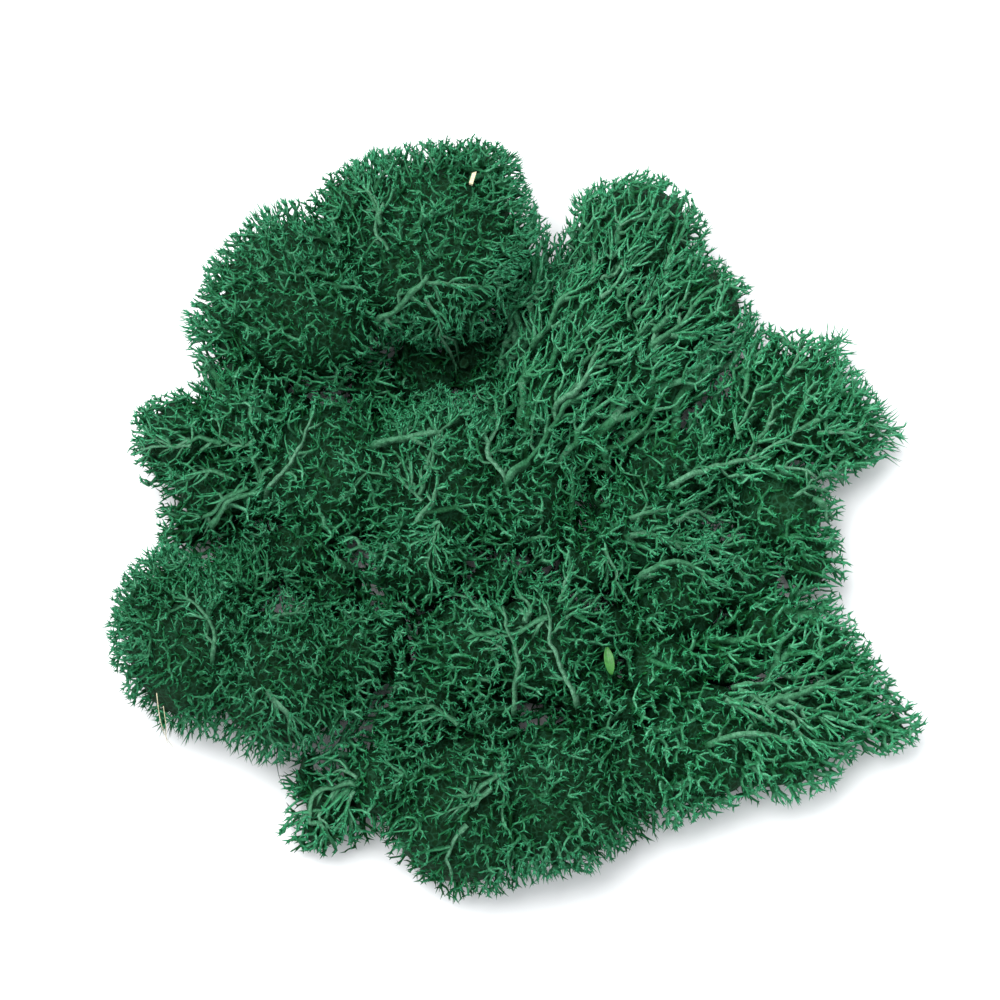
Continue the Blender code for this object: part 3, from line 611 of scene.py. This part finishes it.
def caught(feet, owners, catch, stems):
    """The stem point that carries each foot, a little upstream of the nearest one, or -1."""
    parent = np.full(len(feet), -1)
    if not catch:
        return parent
    for k, foot in enumerate(feet):
        _, near, distance = stems.tree.find(foot)
        if distance < catch and stems.owners[near] == owners[k]:
            parent[k] = near + stems.upstream[near]
    return parent


def forks_of(ends, feet, level, draw):
    """(forks, the fork's number for each end): each fork lies among the feet that it joins, at its depth."""
    group, count = grouped(feet, ends.owners, level.reach, level.most)
    members = np.bincount(group, minlength=count)
    owners = np.zeros(count, int)
    owners[group] = ends.owners
    points = group_means(feet, group, members)
    points += noise_vectors(points, level.reach * FORK_DRIFT_PITCH) * level.step * FORK_DRIFT
    points += draw.normal(size=(count, 3)) * level.step * SHAKE * (1 + LEANS[owners, None] * LEAN_SHAKE)
    distance, outward = form_at(points)
    shallow = level.depth * (1 - LEAN_SHALLOW * LEANS[owners]) + distance
    points -= outward * np.clip(shallow, 0, None)[:, None]
    ways = unit(group_means(ends.points, group, members) - points)
    ways = unit(ways + FORK_FOLLOWS * grow_direction(points, outward, owners))
    widths = np.bincount(group, ends.widths ** THICKENING, count) ** (1 / THICKENING)
    widths = np.minimum(widths, THICKEST)
    points[:, 2] = np.maximum(points[:, 2], widths + FORK_CLEAR)
    return Ends(points, ways, widths, owners), group


def curved(starts, start_ways, ends, end_ways, segments):
    """Points along one smooth curve from each start to its end, as an array of curves by points by 3."""
    span = ends - starts
    length = np.linalg.norm(span, axis=1, keepdims=True)
    leave = unit(unit(span) - start_ways * LEAVE_TURN) * length
    arrive = unit(end_ways * ARRIVE_TURN + unit(span) * ARRIVE_SPAN) * length
    t = np.linspace(0, 1, segments + 1)[None, :, None]
    return ((2 * t ** 3 - 3 * t ** 2 + 1) * starts[:, None] + (t ** 3 - 2 * t ** 2 + t) * leave[:, None]
            + (3 * t ** 2 - 2 * t ** 3) * ends[:, None] + (t ** 3 - t ** 2) * arrive[:, None])


def joined(ends, number, stems, draw):
    """One round of joining: the branches from the ends down to their forks or bare stems, and the forks."""
    level = LEVELS[number]
    points, ways, widths, owners = ends
    count = len(points)
    step = level.step * draw.uniform(*STEP_RANGE, count) * (1 + level.running * LEANS[owners])
    feet = points - ways * step[:, None]
    parent = caught(feet, owners, level.catch, stems)
    free, held = parent < 0, parent >= 0
    forks, group = forks_of(Ends(*(row[free] for row in ends)), feet[free], level, draw)
    starts, start_ways, start_widths = np.empty_like(points), np.empty_like(points), np.empty(count)
    for chosen, source, rows in ((free, forks, group), (held, stems, parent[held])):
        starts[chosen], start_ways[chosen] = source.points[rows], source.ways[rows]
        start_widths[chosen] = source.widths[rows]
    curves = curved(starts, start_ways, points, ways, level.segments)
    if level.segments > 1:
        inner = curves[:, 1:-1]
        kinks = noise_vectors(inner.reshape(-1, 3), KINK_PITCH).reshape(inner.shape) * KINK
        curves[:, 1:-1] += draw.normal(size=(count, 1, 3)) * level.step * BOW + kinks
    if number >= INSIDE_FROM:
        inner = curves[:, 1:-1].reshape(-1, 3)
        distance, outward = form_at(inner)
        inner = inner - outward * np.clip(distance + level.depth * INSIDE_SHARE, 0, None)[:, None]
        curves[:, 1:-1] = inner.reshape(count, -1, 3)
    curves[:, :, 2] = np.maximum(curves[:, :, 2], start_widths[:, None] + FLOOR_GAP)
    flare = np.linspace(0, 1, level.segments + 1)[None] ** FLARE
    first = np.minimum(start_widths * FLARE_FIT, widths * FLARE_MOST)
    along = first[:, None] * (1 - flare) + widths[:, None] * flare
    rounds = len(LEVELS) + 1
    ages = np.linspace((number + 1) / rounds, number / rounds, level.segments + 1)[None].repeat(count, 0)
    return Branches(curves, along, ages, owners), forks


def grow(sizes):
    """Grows every tuft from its tips inwards, and returns its branches round by round."""
    draw = np.random.default_rng(sizes.seed)
    noise.seed_set(sizes.seed)
    stems = bare_stems(draw)
    points, outward, owners = tips_on_form(sizes, draw)
    clear = clear_of_stems(points, stems)
    points, outward, owners = points[clear], outward[clear], owners[clear]
    widths = sizes.tip_radius / MM * FINENESS[owners] * draw.uniform(*WIDTH_RANGE, len(points))
    ends = Ends(points, grow_direction(points, outward, owners), widths, owners)
    hosts = stem_points(stems)
    grown = []
    for number in range(len(LEVELS)):
        branches, ends = joined(ends, number, hosts, draw)
        grown.append(branches)
    curves = np.stack([ends.points - ends.ways * ROOT_STEP, ends.points], axis=1)
    curves[:, :, 2] = np.maximum(curves[:, :, 2], ends.widths[:, None] + FLOOR_GAP)
    along = ends.widths[:, None].repeat(2, 1)
    # The roots get the oldest age, which gives them the inside's painted shade.
    grown.append(Branches(curves, along, np.ones_like(along), ends.owners))
    for stem in stems:
        ages = np.full((1, len(stem.widths)), BARE_AGE)
        grown.append(Branches(stem.points[None], stem.widths[None], ages, stem.owners[:1]))
    return grown


def shades_and_tones_of(curves, number, draw):
    # Painted light and shade: darker the deeper a point lies in the form and the lower it stands, paler at
    # the outside, plus a random tone.
    light = 1 + form_at(curves.reshape(-1, 3))[0].reshape(curves.shape[:2]) / SHADE_DEPTH
    shades_and_tones = np.clip(light * LIGHT_SHARE + draw.uniform(0, TONE_SPREAD, (len(curves), 1)), 0, 1)
    return shades_and_tones * np.clip(LOW_SHADE + curves[:, :, 2] * TUFTS[number].tint ** 3 / SHADE_HEIGHT, 0, 1)


def skeleton(node, number, grown, draw):
    """A mesh of edges along one tuft's stems, and of loose points where its tips stand."""
    rows, edges, start = [], [], 0
    for level, branches in enumerate(grown):
        mine = branches.owners == number
        if not mine.any():
            continue
        curves, widths, ages = branches.curves[mine], branches.widths[mine], branches.ages[mine]
        shades_and_tones = shades_and_tones_of(curves, number, draw)
        count, long = curves.shape[:2]
        if level == 0:
            yes, no = np.ones(count, bool), np.zeros(count, bool)
            feet = curves[:, 0]
            rows.append((feet, widths[:, 0], shades_and_tones[:, 1], ages[:, 1], yes, no, curves[:, -1] - feet))
        else:
            index = start + np.arange(count * long).reshape(count, long)
            edges.append(np.stack([index[:, :-1].ravel(), index[:, 1:].ravel()], axis=1))
            no, still = np.zeros(count * long, bool), np.zeros((count * long, 3))
            thick = (widths[:, -1] > THICK_FROM).repeat(long)
            rows.append((
                curves.reshape(-1, 3), widths.ravel(), shades_and_tones.ravel(), ages.ravel(), no, thick, still))
        start += len(rows[-1][0])
    places, width, shade_and_tone, age, tip, thick, axis = (np.concatenate(column) for column in zip(*rows))
    edges = np.concatenate(edges)
    mesh = bpy.data.meshes.new(node + "_skeleton")
    mesh.vertices.add(len(places))
    mesh.vertices.foreach_set("co", (places * MM).astype(np.float32).ravel())
    mesh.edges.add(len(edges))
    mesh.edges.foreach_set("vertices", edges.astype(np.int32).ravel())
    for name, kind, field, values in (
            ("width", "FLOAT", "value", width * MM), ("shade_and_tone", "FLOAT", "value", shade_and_tone),
            ("age", "FLOAT", "value", age), ("tip", "BOOLEAN", "value", tip),
            ("thick", "BOOLEAN", "value", thick), ("axis", "FLOAT_VECTOR", "vector", axis * MM)):
        mesh.attributes.new(name, kind, "POINT").data.foreach_set(field, values.ravel())
    return mesh


def enabled(node):
    """The first output that a node's settings turn on."""
    return next(socket for socket in node.outputs if socket.enabled)


def wired(tree, kind, inputs=(), **settings):
    """Adds a node to a tree with its settings. Its inputs get plain values, other nodes or their outputs."""
    node = tree.nodes.new(kind)
    for key, value in settings.items():
        setattr(node, key, value)
    for key, value in dict(inputs).items():
        if isinstance(value, bpy.types.Node):
            value = enabled(value)
        if isinstance(value, bpy.types.NodeSocket):
            tree.links.new(value, node.inputs[key])
        else:
            node.inputs[key].default_value = value
    return node


def named(tree, kind, name):
    return wired(tree, "GeometryNodeInputNamedAttribute", {"Name": name}, data_type=kind)


def tubes_of(tree, lines, sides):
    """The mesh of closed tubes along edges, with their width attribute as radius."""
    width = named(tree, "FLOAT", "width")
    curve = wired(tree, "GeometryNodeMeshToCurve", {"Mesh": lines})
    swell = wired(tree, "GeometryNodeSetCurveRadius", {"Curve": curve, "Radius": width})
    ring = wired(tree, "GeometryNodeCurvePrimitiveCircle", {"Resolution": sides})
    tube = wired(tree, "GeometryNodeCurveToMesh", {"Fill Caps": True, "Curve": swell, "Profile Curve": ring})
    if "Scale" in tube.inputs:
        tree.links.new(enabled(width), tube.inputs["Scale"])
    return enabled(tube)


def cones_on(tree, points, sides, seed):
    """A pointed cone on each tip's foot, along its axis and turned about it at random."""
    cone = wired(tree, "GeometryNodeMeshCone", {
        "Radius Top": 0.0, "Radius Bottom": 1.0, "Depth": 1.0, "Vertices": sides})
    axis = named(tree, "FLOAT_VECTOR", "axis")
    aim = wired(tree, "FunctionNodeAlignRotationToVector", {"Vector": axis}, axis="Z")
    roll = wired(tree, "FunctionNodeRandomValue", {"Max": math.tau, "Seed": seed}, data_type="FLOAT")
    spin = wired(tree, "FunctionNodeAxisAngleToRotation", {"Angle": roll})
    turn = wired(tree, "FunctionNodeRotateRotation", {"Rotation": aim, "Rotate By": spin},
                 rotation_space="LOCAL")
    long = wired(tree, "ShaderNodeVectorMath", {0: axis}, operation="LENGTH")
    width = named(tree, "FLOAT", "width")
    scale = wired(tree, "ShaderNodeCombineXYZ", {"X": width, "Y": width, "Z": long.outputs["Value"]})
    return enabled(wired(tree, "GeometryNodeInstanceOnPoints", {
        "Points": points, "Instance": cone, "Rotation": turn, "Scale": scale}))


def branch_tree():
    """Turns a skeleton into closed tubes, and sets a pointed cone at each tip."""
    tree = bpy.data.node_groups.new("Lichen Branches", "GeometryNodeTree")
    tree.interface.new_socket("Geometry", in_out="INPUT", socket_type="NodeSocketGeometry")
    for label, value in (("Fine Sides", FINE_SIDES), ("Thick Sides", THICK_SIDES), ("Seed", 0)):
        tree.interface.new_socket(label, in_out="INPUT", socket_type="NodeSocketInt").default_value = value
    tree.interface.new_socket("Material", in_out="INPUT", socket_type="NodeSocketMaterial")
    tree.interface.new_socket("Geometry", in_out="OUTPUT", socket_type="NodeSocketGeometry")
    given = tree.nodes.new("NodeGroupInput").outputs
    tips = wired(tree, "GeometryNodeSeparateGeometry", {
        "Geometry": given["Geometry"], "Selection": named(tree, "BOOLEAN", "tip")})
    lines = wired(tree, "GeometryNodeSeparateGeometry", {
        "Geometry": tips.outputs["Inverted"], "Selection": named(tree, "BOOLEAN", "thick")})
    join = tree.nodes.new("GeometryNodeJoinGeometry")
    for made in (tubes_of(tree, lines.outputs["Selection"], given["Thick Sides"]),
                 tubes_of(tree, lines.outputs["Inverted"], given["Fine Sides"]),
                 cones_on(tree, tips.outputs["Selection"], given["Fine Sides"], given["Seed"])):
        tree.links.new(made, join.inputs["Geometry"])
    real = wired(tree, "GeometryNodeRealizeInstances", {"Geometry": join})
    smooth = wired(tree, "GeometryNodeSetShadeSmooth", {"Geometry": real})
    dress = wired(tree, "GeometryNodeSetMaterial", {"Geometry": smooth, "Material": given["Material"]})
    wired(tree, "NodeGroupOutput", {"Geometry": dress})
    return tree


def add_piece(name, data):
    piece = bpy.data.objects.new(name, data)
    bpy.context.scene.collection.objects.link(piece)
    return piece


def evaluated(piece):
    return piece.evaluated_get(bpy.context.evaluated_depsgraph_get())


def mesh_from(bm, name):
    mesh = bpy.data.meshes.new(name)
    bm.to_mesh(mesh)
    bm.free()
    return mesh


def run_tree(name, mesh, tree, settings):
    """The plain mesh that a node tree makes of a mesh."""
    source = add_piece(name, mesh)
    modifier = source.modifiers.new("branches", "NODES")
    modifier.node_group = tree
    for item in tree.interface.items_tree:
        if item.in_out == "INPUT" and item.name in settings:
            modifier[item.identifier] = settings[item.name]
    bpy.context.view_layer.update()
    made = bpy.data.meshes.new_from_object(evaluated(source))
    bpy.data.objects.remove(source, do_unlink=True)
    return made


def store_map(mesh):
    """Writes the painted shade and tone across and age up the bake's map, each face with a little room of its
    own.
    """
    shade_and_tone, age = np.empty((2, len(mesh.vertices)), np.float32)
    mesh.attributes["shade_and_tone"].data.foreach_get("value", shade_and_tone)
    mesh.attributes["age"].data.foreach_get("value", age)
    corner = np.empty(len(mesh.loops), np.int32)
    mesh.loops.foreach_get("vertex_index", corner)
    turn = np.arange(len(corner))
    across = shade_and_tone[corner] * MAP_FILL + (turn % 2) * MAP_ROOM
    up = age[corner] * MAP_FILL + (turn // 2 % 2) * MAP_ROOM
    layer = mesh.uv_layers.new(name=UV_MAP)
    spots = np.stack([across, up], axis=1) + MAP_MARGIN
    layer.uv.foreach_set("vector", spots.astype(np.float32).ravel())


def lobe_owners():
    """The number of the tuft that each lobe belongs to, with the filling shared out by place."""
    own = [[number] * len(tuft.lobes) for number, tuft in enumerate(TUFTS)]
    return np.concatenate([*own, owner_of(CENTRES[-len(FILLING):])])


def core_mesh(mine):
    """The inside of a tuft in painted shade: one rough closed body in each lobe, which the branches stand out
    of.
    """
    bm = bmesh.new()
    for centre, radii in zip(CENTRES[mine], RADII[mine]):
        body = bmesh.ops.create_icosphere(bm, subdivisions=CORE_DETAIL, radius=1.0)["verts"]
        ways = np.array([v.co.normalized() for v in body])
        points = centre + ways * np.maximum(radii - CORE_DEPTH, radii * CORE_LEAST)
        points += noise_vectors(points, CORE_PITCH) * CORE_ROUGHNESS
        points[:, 2] = np.maximum(points[:, 2], CORE_FLOOR)
        for vert, p in zip(body, points * MM):
            vert.co = p
    mesh = mesh_from(bm, "core")
    mesh.shade_smooth()
    # Its shade and tone and its age give it the dark colour of painted shade.
    for name, value in (("shade_and_tone", CORE_SHADE), ("age", CORE_SHADE_AGE)):
        values = [value] * len(mesh.vertices)
        mesh.attributes.new(name, "FLOAT", "POINT").data.foreach_set("value", values)
    return mesh


def rgba(colour):
    return (*colour, 1)


def shaded(colour, share):
    """A colour made lighter or darker, in no channel above 1."""
    return tuple(min(c * share, 1.0) for c in colour)


class Shader:
    """Builds one material's nodes."""

    def __init__(self, name, roughness):
        self.material = bpy.data.materials.new(name)
        self.material.use_nodes = True
        self.tree = self.material.node_tree
        self.inputs = self.tree.nodes["Principled BSDF"].inputs
        self.inputs["Roughness"].default_value = roughness

    def place(self):
        return wired(self.tree, "ShaderNodeTexCoord").outputs["Object"]

    def noise(self, scale, detail=3.0):
        inputs = {"Scale": scale, "Detail": detail, "Vector": self.place()}
        return wired(self.tree, "ShaderNodeTexNoise", inputs).outputs["Fac"]

    def net(self, scale):
        inputs = {"Scale": scale, "Vector": self.place()}
        node = wired(self.tree, "ShaderNodeTexVoronoi", inputs, feature="DISTANCE_TO_EDGE")
        return node.outputs["Distance"]

    def ramp(self, source, stops):
        node = wired(self.tree, "ShaderNodeValToRGB", {"Fac": source})
        elements = node.color_ramp.elements
        for element, (place, colour) in zip(elements, (stops[0], stops[-1])):
            element.position, element.color = place, rgba(colour)
        for place, colour in stops[1:-1]:
            elements.new(place).color = rgba(colour)
        return node.outputs["Color"]

    def mix(self, factor, first, second, blend="MIX"):
        """Mixes two colours. A Mix node has its colours at inputs 6 and 7, and their mix at output 2."""
        inputs = {"Factor": factor, 6: first, 7: second}
        return wired(self.tree, "ShaderNodeMix", inputs, data_type="RGBA", blend_type=blend).outputs[2]

    def colour(self, source):
        self.tree.links.new(source, self.inputs["Base Color"])

    def shades(self, source, colour, shares):
        """Colours the surface in lighter and darker shades of one colour."""
        self.colour(self.ramp(source, [(spot, shaded(colour, share)) for spot, share in shares]))

    def bump(self, height, strength, distance):
        inputs = {"Strength": strength, "Distance": distance, "Height": height}
        node = wired(self.tree, "ShaderNodeBump", inputs)
        self.tree.links.new(node.outputs["Normal"], self.inputs["Normal"])


def fibre_material(name, colour, turn):
    """Dry plant fibre: streaks of lighter and darker along one direction."""
    shader = Shader(name, FIBRE_ROUGHNESS)
    place = wired(shader.tree, "ShaderNodeMapping", {
        "Rotation": (0, 0, -turn), "Scale": FIBRE_SCALE, "Vector": shader.place()})
    streaks = wired(shader.tree, "ShaderNodeTexNoise", {"Scale": 1.0, "Vector": place.outputs["Vector"]})
    shader.shades(streaks.outputs["Fac"], colour, FIBRE_STOPS)
    shader.bump(streaks.outputs["Fac"], FIBRE_STRENGTH, FIBRE_DEPTH)
    return shader.material


def lichen_material(name, colours, tint):
    """Dyed lichen by the map's painted shade and tone and its age: saturated tips, paler grainy stems and an
    inside in painted shade, netted with darkened stems.
    """
    shader = Shader(name, LICHEN_ROUGHNESS)
    places = wired(shader.tree, "ShaderNodeUVMap", uv_map=UV_MAP)
    split = wired(shader.tree, "ShaderNodeSeparateXYZ", {"Vector": places.outputs["UV"]})
    tip, stem, trunk, deep_shade = (
        shaded(colour, tint) for colour in (colours.tip, colours.stem, colours.trunk, colours.deep_shade))
    age = shader.ramp(split.outputs["Y"], list(zip(AGE_STOPS, (tip, stem, trunk, trunk, deep_shade))))
    # Painted light and shade over all: dark deep in the heap and low down, paler outside.
    shade_and_tone = shader.ramp(split.outputs["X"], SHADE_AND_TONE_STOPS)
    toned_and_shaded = shader.mix(1.0, age, shade_and_tone, "MULTIPLY")
    # The inside is painted shade: a net of darkened stems on the near black deep colour.
    net = shader.ramp(shader.net(NET_SCALE), ((0.0, shaded(stem, NET_SHADE)), (NET_WIDTH, deep_shade)))
    inside = shader.ramp(split.outputs["Y"], list(zip(SHADED_INSIDE_AGES, ((0, 0, 0), (1, 1, 1)))))
    toned_and_shaded = shader.mix(inside, toned_and_shaded, net)
    for scale, stops in ((MOTTLE_SCALE, MOTTLE_STOPS), (SPECKLE_SCALE, SPECKLE_STOPS)):
        toned_and_shaded = shader.mix(1.0, toned_and_shaded, shader.ramp(shader.noise(scale), stops), "MULTIPLY")
    shader.colour(toned_and_shaded)
    shader.inputs["Specular IOR Level"].default_value = LICHEN_SHINE
    grit = shader.mix(0.5, *(shader.noise(scale) for scale in GRIT_SCALES))
    shader.bump(grit, GRIT_STRENGTH, GRIT_DEPTH)
    return shader.material


def leaf_material(name, colour):
    """Leaf green, mottled and finely grained."""
    shader = Shader(name, LEAF_ROUGHNESS)
    shader.shades(shader.noise(LEAF_MOTTLE_SCALE), colour, LEAF_SHADES)
    shader.bump(shader.noise(LEAF_GRAIN), LEAF_RELIEF, LEAF_RELIEF_DEPTH)
    return shader.material


def with_core(tubes, core, material):
    """One mesh of a tuft's branches and its inside in painted shade."""
    bm = bmesh.new()
    bm.from_mesh(tubes)
    bm.from_mesh(core)
    mesh = mesh_from(bm, tubes.name)
    store_map(mesh)
    mesh.materials.append(material)
    return mesh


def leaf_mesh():
    """A folded, arched blade with a midrib and slanting veins, before it gets its thickness."""
    bm = bmesh.new()
    bmesh.ops.create_grid(bm, x_segments=LEAF_ROWS, y_segments=LEAF_COLUMNS, size=1.0)
    for vert in bm.verts:
        along, across = vert.co.x, vert.co.y
        taper = max(1 - abs(along) ** LEAF_TAPER, 0.0) ** LEAF_FULLNESS
        half = taper * LEAF_WIDTH / 2 + LEAF_END
        vein = math.cos((along * 0.5 - abs(across) * VEIN_SLANT) * LEAF_VEINS * math.tau)
        rib = max(0, 1 - abs(across) / RIB_WIDTH) * RIB_HEIGHT
        height = LEAF_ARCH * (1 - along ** 2) + LEAF_FOLD * abs(across) ** LEAF_FOLD_POWER
        height += LEAF_RIB * (rib + vein * VEIN_HEIGHT * abs(across))
        vert.co = Vector((along * LEAF_LENGTH / 2, across * half, height)) * MM
    return mesh_from(bm, "leaf_blade")


def hair_mesh(hair, radius):
    """A closed thin tube along a hair's route, tapering to its free end."""
    curve = bpy.data.curves.new(hair.name, "CURVE")
    curve.dimensions = "3D"
    curve.bevel_depth = radius * hair.thickness
    curve.bevel_resolution = 1
    curve.use_fill_caps = True
    points = (smooth_route(hair.route, HAIR_STEP) + SHIFT) * MM
    line = curve.splines.new("POLY")
    line.points.add(len(points) - 1)
    for spot, place, share in zip(line.points, points, np.linspace(0, 1, len(points))):
        spot.co = (*place, 1)
        spot.radius = 1 - HAIR_TAPER * share
    source = add_piece(hair.name, curve)
    bm = bmesh.new()
    bm.from_mesh(evaluated(source).to_mesh())
    bmesh.ops.remove_doubles(bm, verts=bm.verts, dist=HAIR_WELD)
    bmesh.ops.recalc_face_normals(bm, faces=bm.faces)
    mesh = mesh_from(bm, hair.name)
    mesh.shade_smooth()
    bpy.data.objects.remove(source, do_unlink=True)
    return mesh


def length_setting(name, description, default):
    return bpy.props.FloatProperty(
        name=name, description=description, default=default, subtype="DISTANCE", unit="LENGTH", precision=5)


def colour_setting(name, default):
    return bpy.props.FloatVectorProperty(
        name=name.title(), description="Colour of the " + name, subtype="COLOR", default=default)


class MossSizes(bpy.types.PropertyGroup):
    seed: bpy.props.IntProperty(name="Seed", description="Picks the random draws", default=3, min=1)
    tip_spacing: length_setting("Tip Spacing", "How far apart the tips stand", 0.00072)
    tip_radius: length_setting("Tip Radius", "Half the thickness of a tip at its foot", 0.000125)


class MossColours(bpy.types.PropertyGroup):
    tip: colour_setting("tips", (0.012, 0.165, 0.060))
    stem: colour_setting("fine stems", (0.026, 0.190, 0.080))
    trunk: colour_setting("thick stems", (0.027, 0.134, 0.062))
    # The inside's colour is painted shade, near black where the heap lies in shade.
    deep_shade: colour_setting("inside", (0.001, 0.02, 0.004))


class MOSS_OT_tufts(bpy.types.Operator):
    """Grow the tufts' branches in place of the plain solids"""
    bl_idname = "moss.tufts"
    bl_label = "Tufts"

    def execute(self, context):
        sizes, colours = context.scene.moss_sizes, context.scene.moss_colours
        grown = grow(sizes)
        tree = branch_tree()
        draw = np.random.default_rng(sizes.seed + 1)
        hosts = lobe_owners()
        for number, tuft in enumerate(TUFTS):
            material = lichen_material(tuft.node + "_lichen", colours, tuft.tint)
            bones = skeleton(tuft.node, number, grown, draw)
            tubes = run_tree(tuft.node, bones, tree, {"Material": material, "Seed": sizes.seed + number})
            core = core_mesh(hosts == number)
            piece = add_piece(tuft.node + "_branches", with_core(tubes, core, material))
            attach(piece, BODY)
            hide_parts(tuft.node)
        return {"FINISHED"}


class OddSizes(bpy.types.PropertyGroup):
    hair_radius: length_setting("Hair Radius", "Half the thickness of the loose hairs", 0.00009)
    straw: colour_setting("chip and straws", (0.62, 0.55, 0.36))
    hair: colour_setting("dark hair", (0.02, 0.035, 0.03))
    leaf: colour_setting("leaf fragment", (0.028, 0.165, 0.020))


class MOSS_OT_chip(bpy.types.Operator):
    """Give the pale wood chip its grain"""
    bl_idname = "moss.chip"
    bl_label = "Wood Chip"

    def execute(self, context):
        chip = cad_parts["wood_chip"]
        chip.data.materials.clear()
        grain = fibre_material("pale_wood_grain", context.scene.moss_odds.straw, CHIP_TURN)
        chip.data.materials.append(grain)
        return {"FINISHED"}


class MOSS_OT_leaf(bpy.types.Operator):
    """Put a veined blade in place of the leaf fragment's solid"""
    bl_idname = "moss.leaf"
    bl_label = "Leaf Fragment"

    def execute(self, context):
        low, high = (np.array(corner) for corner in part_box("leaf_fragment"))
        piece = add_piece("leaf_blade", leaf_mesh())
        wall = piece.modifiers.new("wall", "SOLIDIFY")
        wall.thickness = LEAF_THICKNESS * MM
        mesh = bpy.data.meshes.new_from_object(evaluated(piece))
        piece.modifiers.clear()
        piece.data = mesh
        mesh.transform(Matrix.Rotation(LEAF_TURN, 4, "Z") @ Matrix.Rotation(LEAF_TILT, 4, "Y"))
        places = np.array([v.co for v in mesh.vertices])
        mesh.transform(Matrix.Translation(Vector((low + high) / 2 - (places.min(0) + places.max(0)) / 2)))
        mesh.shade_smooth()
        mesh.materials.append(leaf_material("leaf_green", tuple(context.scene.moss_odds.leaf)))
        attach(piece, BODY)
        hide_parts("leaf_fragment")
        return {"FINISHED"}


class MOSS_OT_hairs(bpy.types.Operator):
    """Lay the loose straws and the dark hair over the edge of their tuft"""
    bl_idname = "moss.hairs"
    bl_label = "Loose Hairs"

    def execute(self, context):
        odds = context.scene.moss_odds
        for hair in HAIRS:
            mesh = hair_mesh(hair, odds.hair_radius)
            colour = odds.straw if hair.pale else odds.hair
            mesh.materials.append(fibre_material(hair.name + "_fibre", colour, 0.0))
            piece = add_piece(hair.name, mesh)
            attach(piece, BODY)
        return {"FINISHED"}


class StageSettings(bpy.types.PropertyGroup):
    floor: colour_setting("floor", (0.86, 0.86, 0.87))
    key_power: bpy.props.FloatProperty(
        name="Key Power", description="Strength of the main light", default=15.5)
    fill_power: bpy.props.FloatProperty(
        name="Fill", description="Brightness of the light all round", default=1.1)
    elevation: bpy.props.FloatProperty(
        name="Elevation", description="Height angle of the camera", default=math.radians(75), subtype="ANGLE")
    distance: length_setting("Distance", "Distance of the camera", 0.7)
    width: length_setting("View Width", "Width of the view at the heap", 0.186)


class MOSS_OT_stage(bpy.types.Operator):
    """Set the floor, the soft lights and the camera"""
    bl_idname = "moss.stage"
    bl_label = "Stage"

    def execute(self, context):
        settings = context.scene.moss_stage
        bm = bmesh.new()
        bmesh.ops.create_grid(bm, x_segments=1, y_segments=1, size=FLOOR_SIZE / 2)
        mesh = mesh_from(bm, "floor")
        shader = Shader("floor_paper", FLOOR_ROUGHNESS)
        shader.inputs["Base Color"].default_value = rgba(settings.floor)
        mesh.materials.append(shader.material)
        add_piece("floor", mesh)
        world = bpy.data.worlds.new("studio")
        world.use_nodes = True
        sky = world.node_tree.nodes["Background"].inputs
        sky["Color"].default_value = rgba(SKY_COLOUR)
        sky["Strength"].default_value = settings.fill_power
        context.scene.world = world
        target = Vector(TARGET) * MM
        light = bpy.data.lights.new("key", "AREA")
        light.shape = "DISK"
        light.size = KEY_SIZE
        light.energy = settings.key_power
        lamp = add_piece("key", light)
        lamp.location = target + Vector(KEY_PLACE)
        camera = bpy.data.cameras.new("camera")
        camera.sensor_width = SENSOR
        camera.lens = SENSOR * settings.distance / settings.width
        camera.clip_end = FAR_CLIP
        eye = add_piece("camera", camera)
        back = Vector((0, -math.cos(settings.elevation), math.sin(settings.elevation)))
        eye.location = target + back * settings.distance
        for item in (lamp, eye):
            item.rotation_euler = (target - item.location).to_track_quat("-Z", "Y").to_euler()
        context.scene.camera = eye
        context.scene.view_settings.view_transform = "Standard"
        return {"FINISHED"}


SETTINGS = {
    "moss_sizes": MossSizes, "moss_colours": MossColours, "moss_odds": OddSizes, "moss_stage": StageSettings}
STEPS = (MOSS_OT_tufts, MOSS_OT_chip, MOSS_OT_leaf, MOSS_OT_hairs, MOSS_OT_stage)


class MOSS_PT_panel(bpy.types.Panel):
    """Sizes, colours and steps of the moss clump"""
    bl_idname = "MOSS_PT_panel"
    bl_label = "Moss Clump"
    bl_space_type = "VIEW_3D"
    bl_region_type = "UI"
    bl_category = "Moss"

    def draw(self, context):
        for group in SETTINGS:
            settings = getattr(context.scene, group)
            box = self.layout.box()
            for name in settings.bl_rna.properties.keys():
                if name not in ("rna_type", "name"):
                    box.prop(settings, name)
        for step in STEPS:
            self.layout.operator(step.bl_idname)


CLASSES = (*SETTINGS.values(), *STEPS, MOSS_PT_panel)


def register():
    for cls in CLASSES:
        bpy.utils.register_class(cls)
    for name, group in SETTINGS.items():
        setattr(bpy.types.Scene, name, bpy.props.PointerProperty(type=group))


def unregister():
    for name in SETTINGS:
        delattr(bpy.types.Scene, name)
    for cls in reversed(CLASSES):
        bpy.utils.unregister_class(cls)


def main():
    register()
    bpy.ops.moss.tufts()
    bpy.ops.moss.chip()
    bpy.ops.moss.leaf()
    bpy.ops.moss.hairs()
    bpy.ops.moss.stage()


if __name__ == "__main__":
    main()
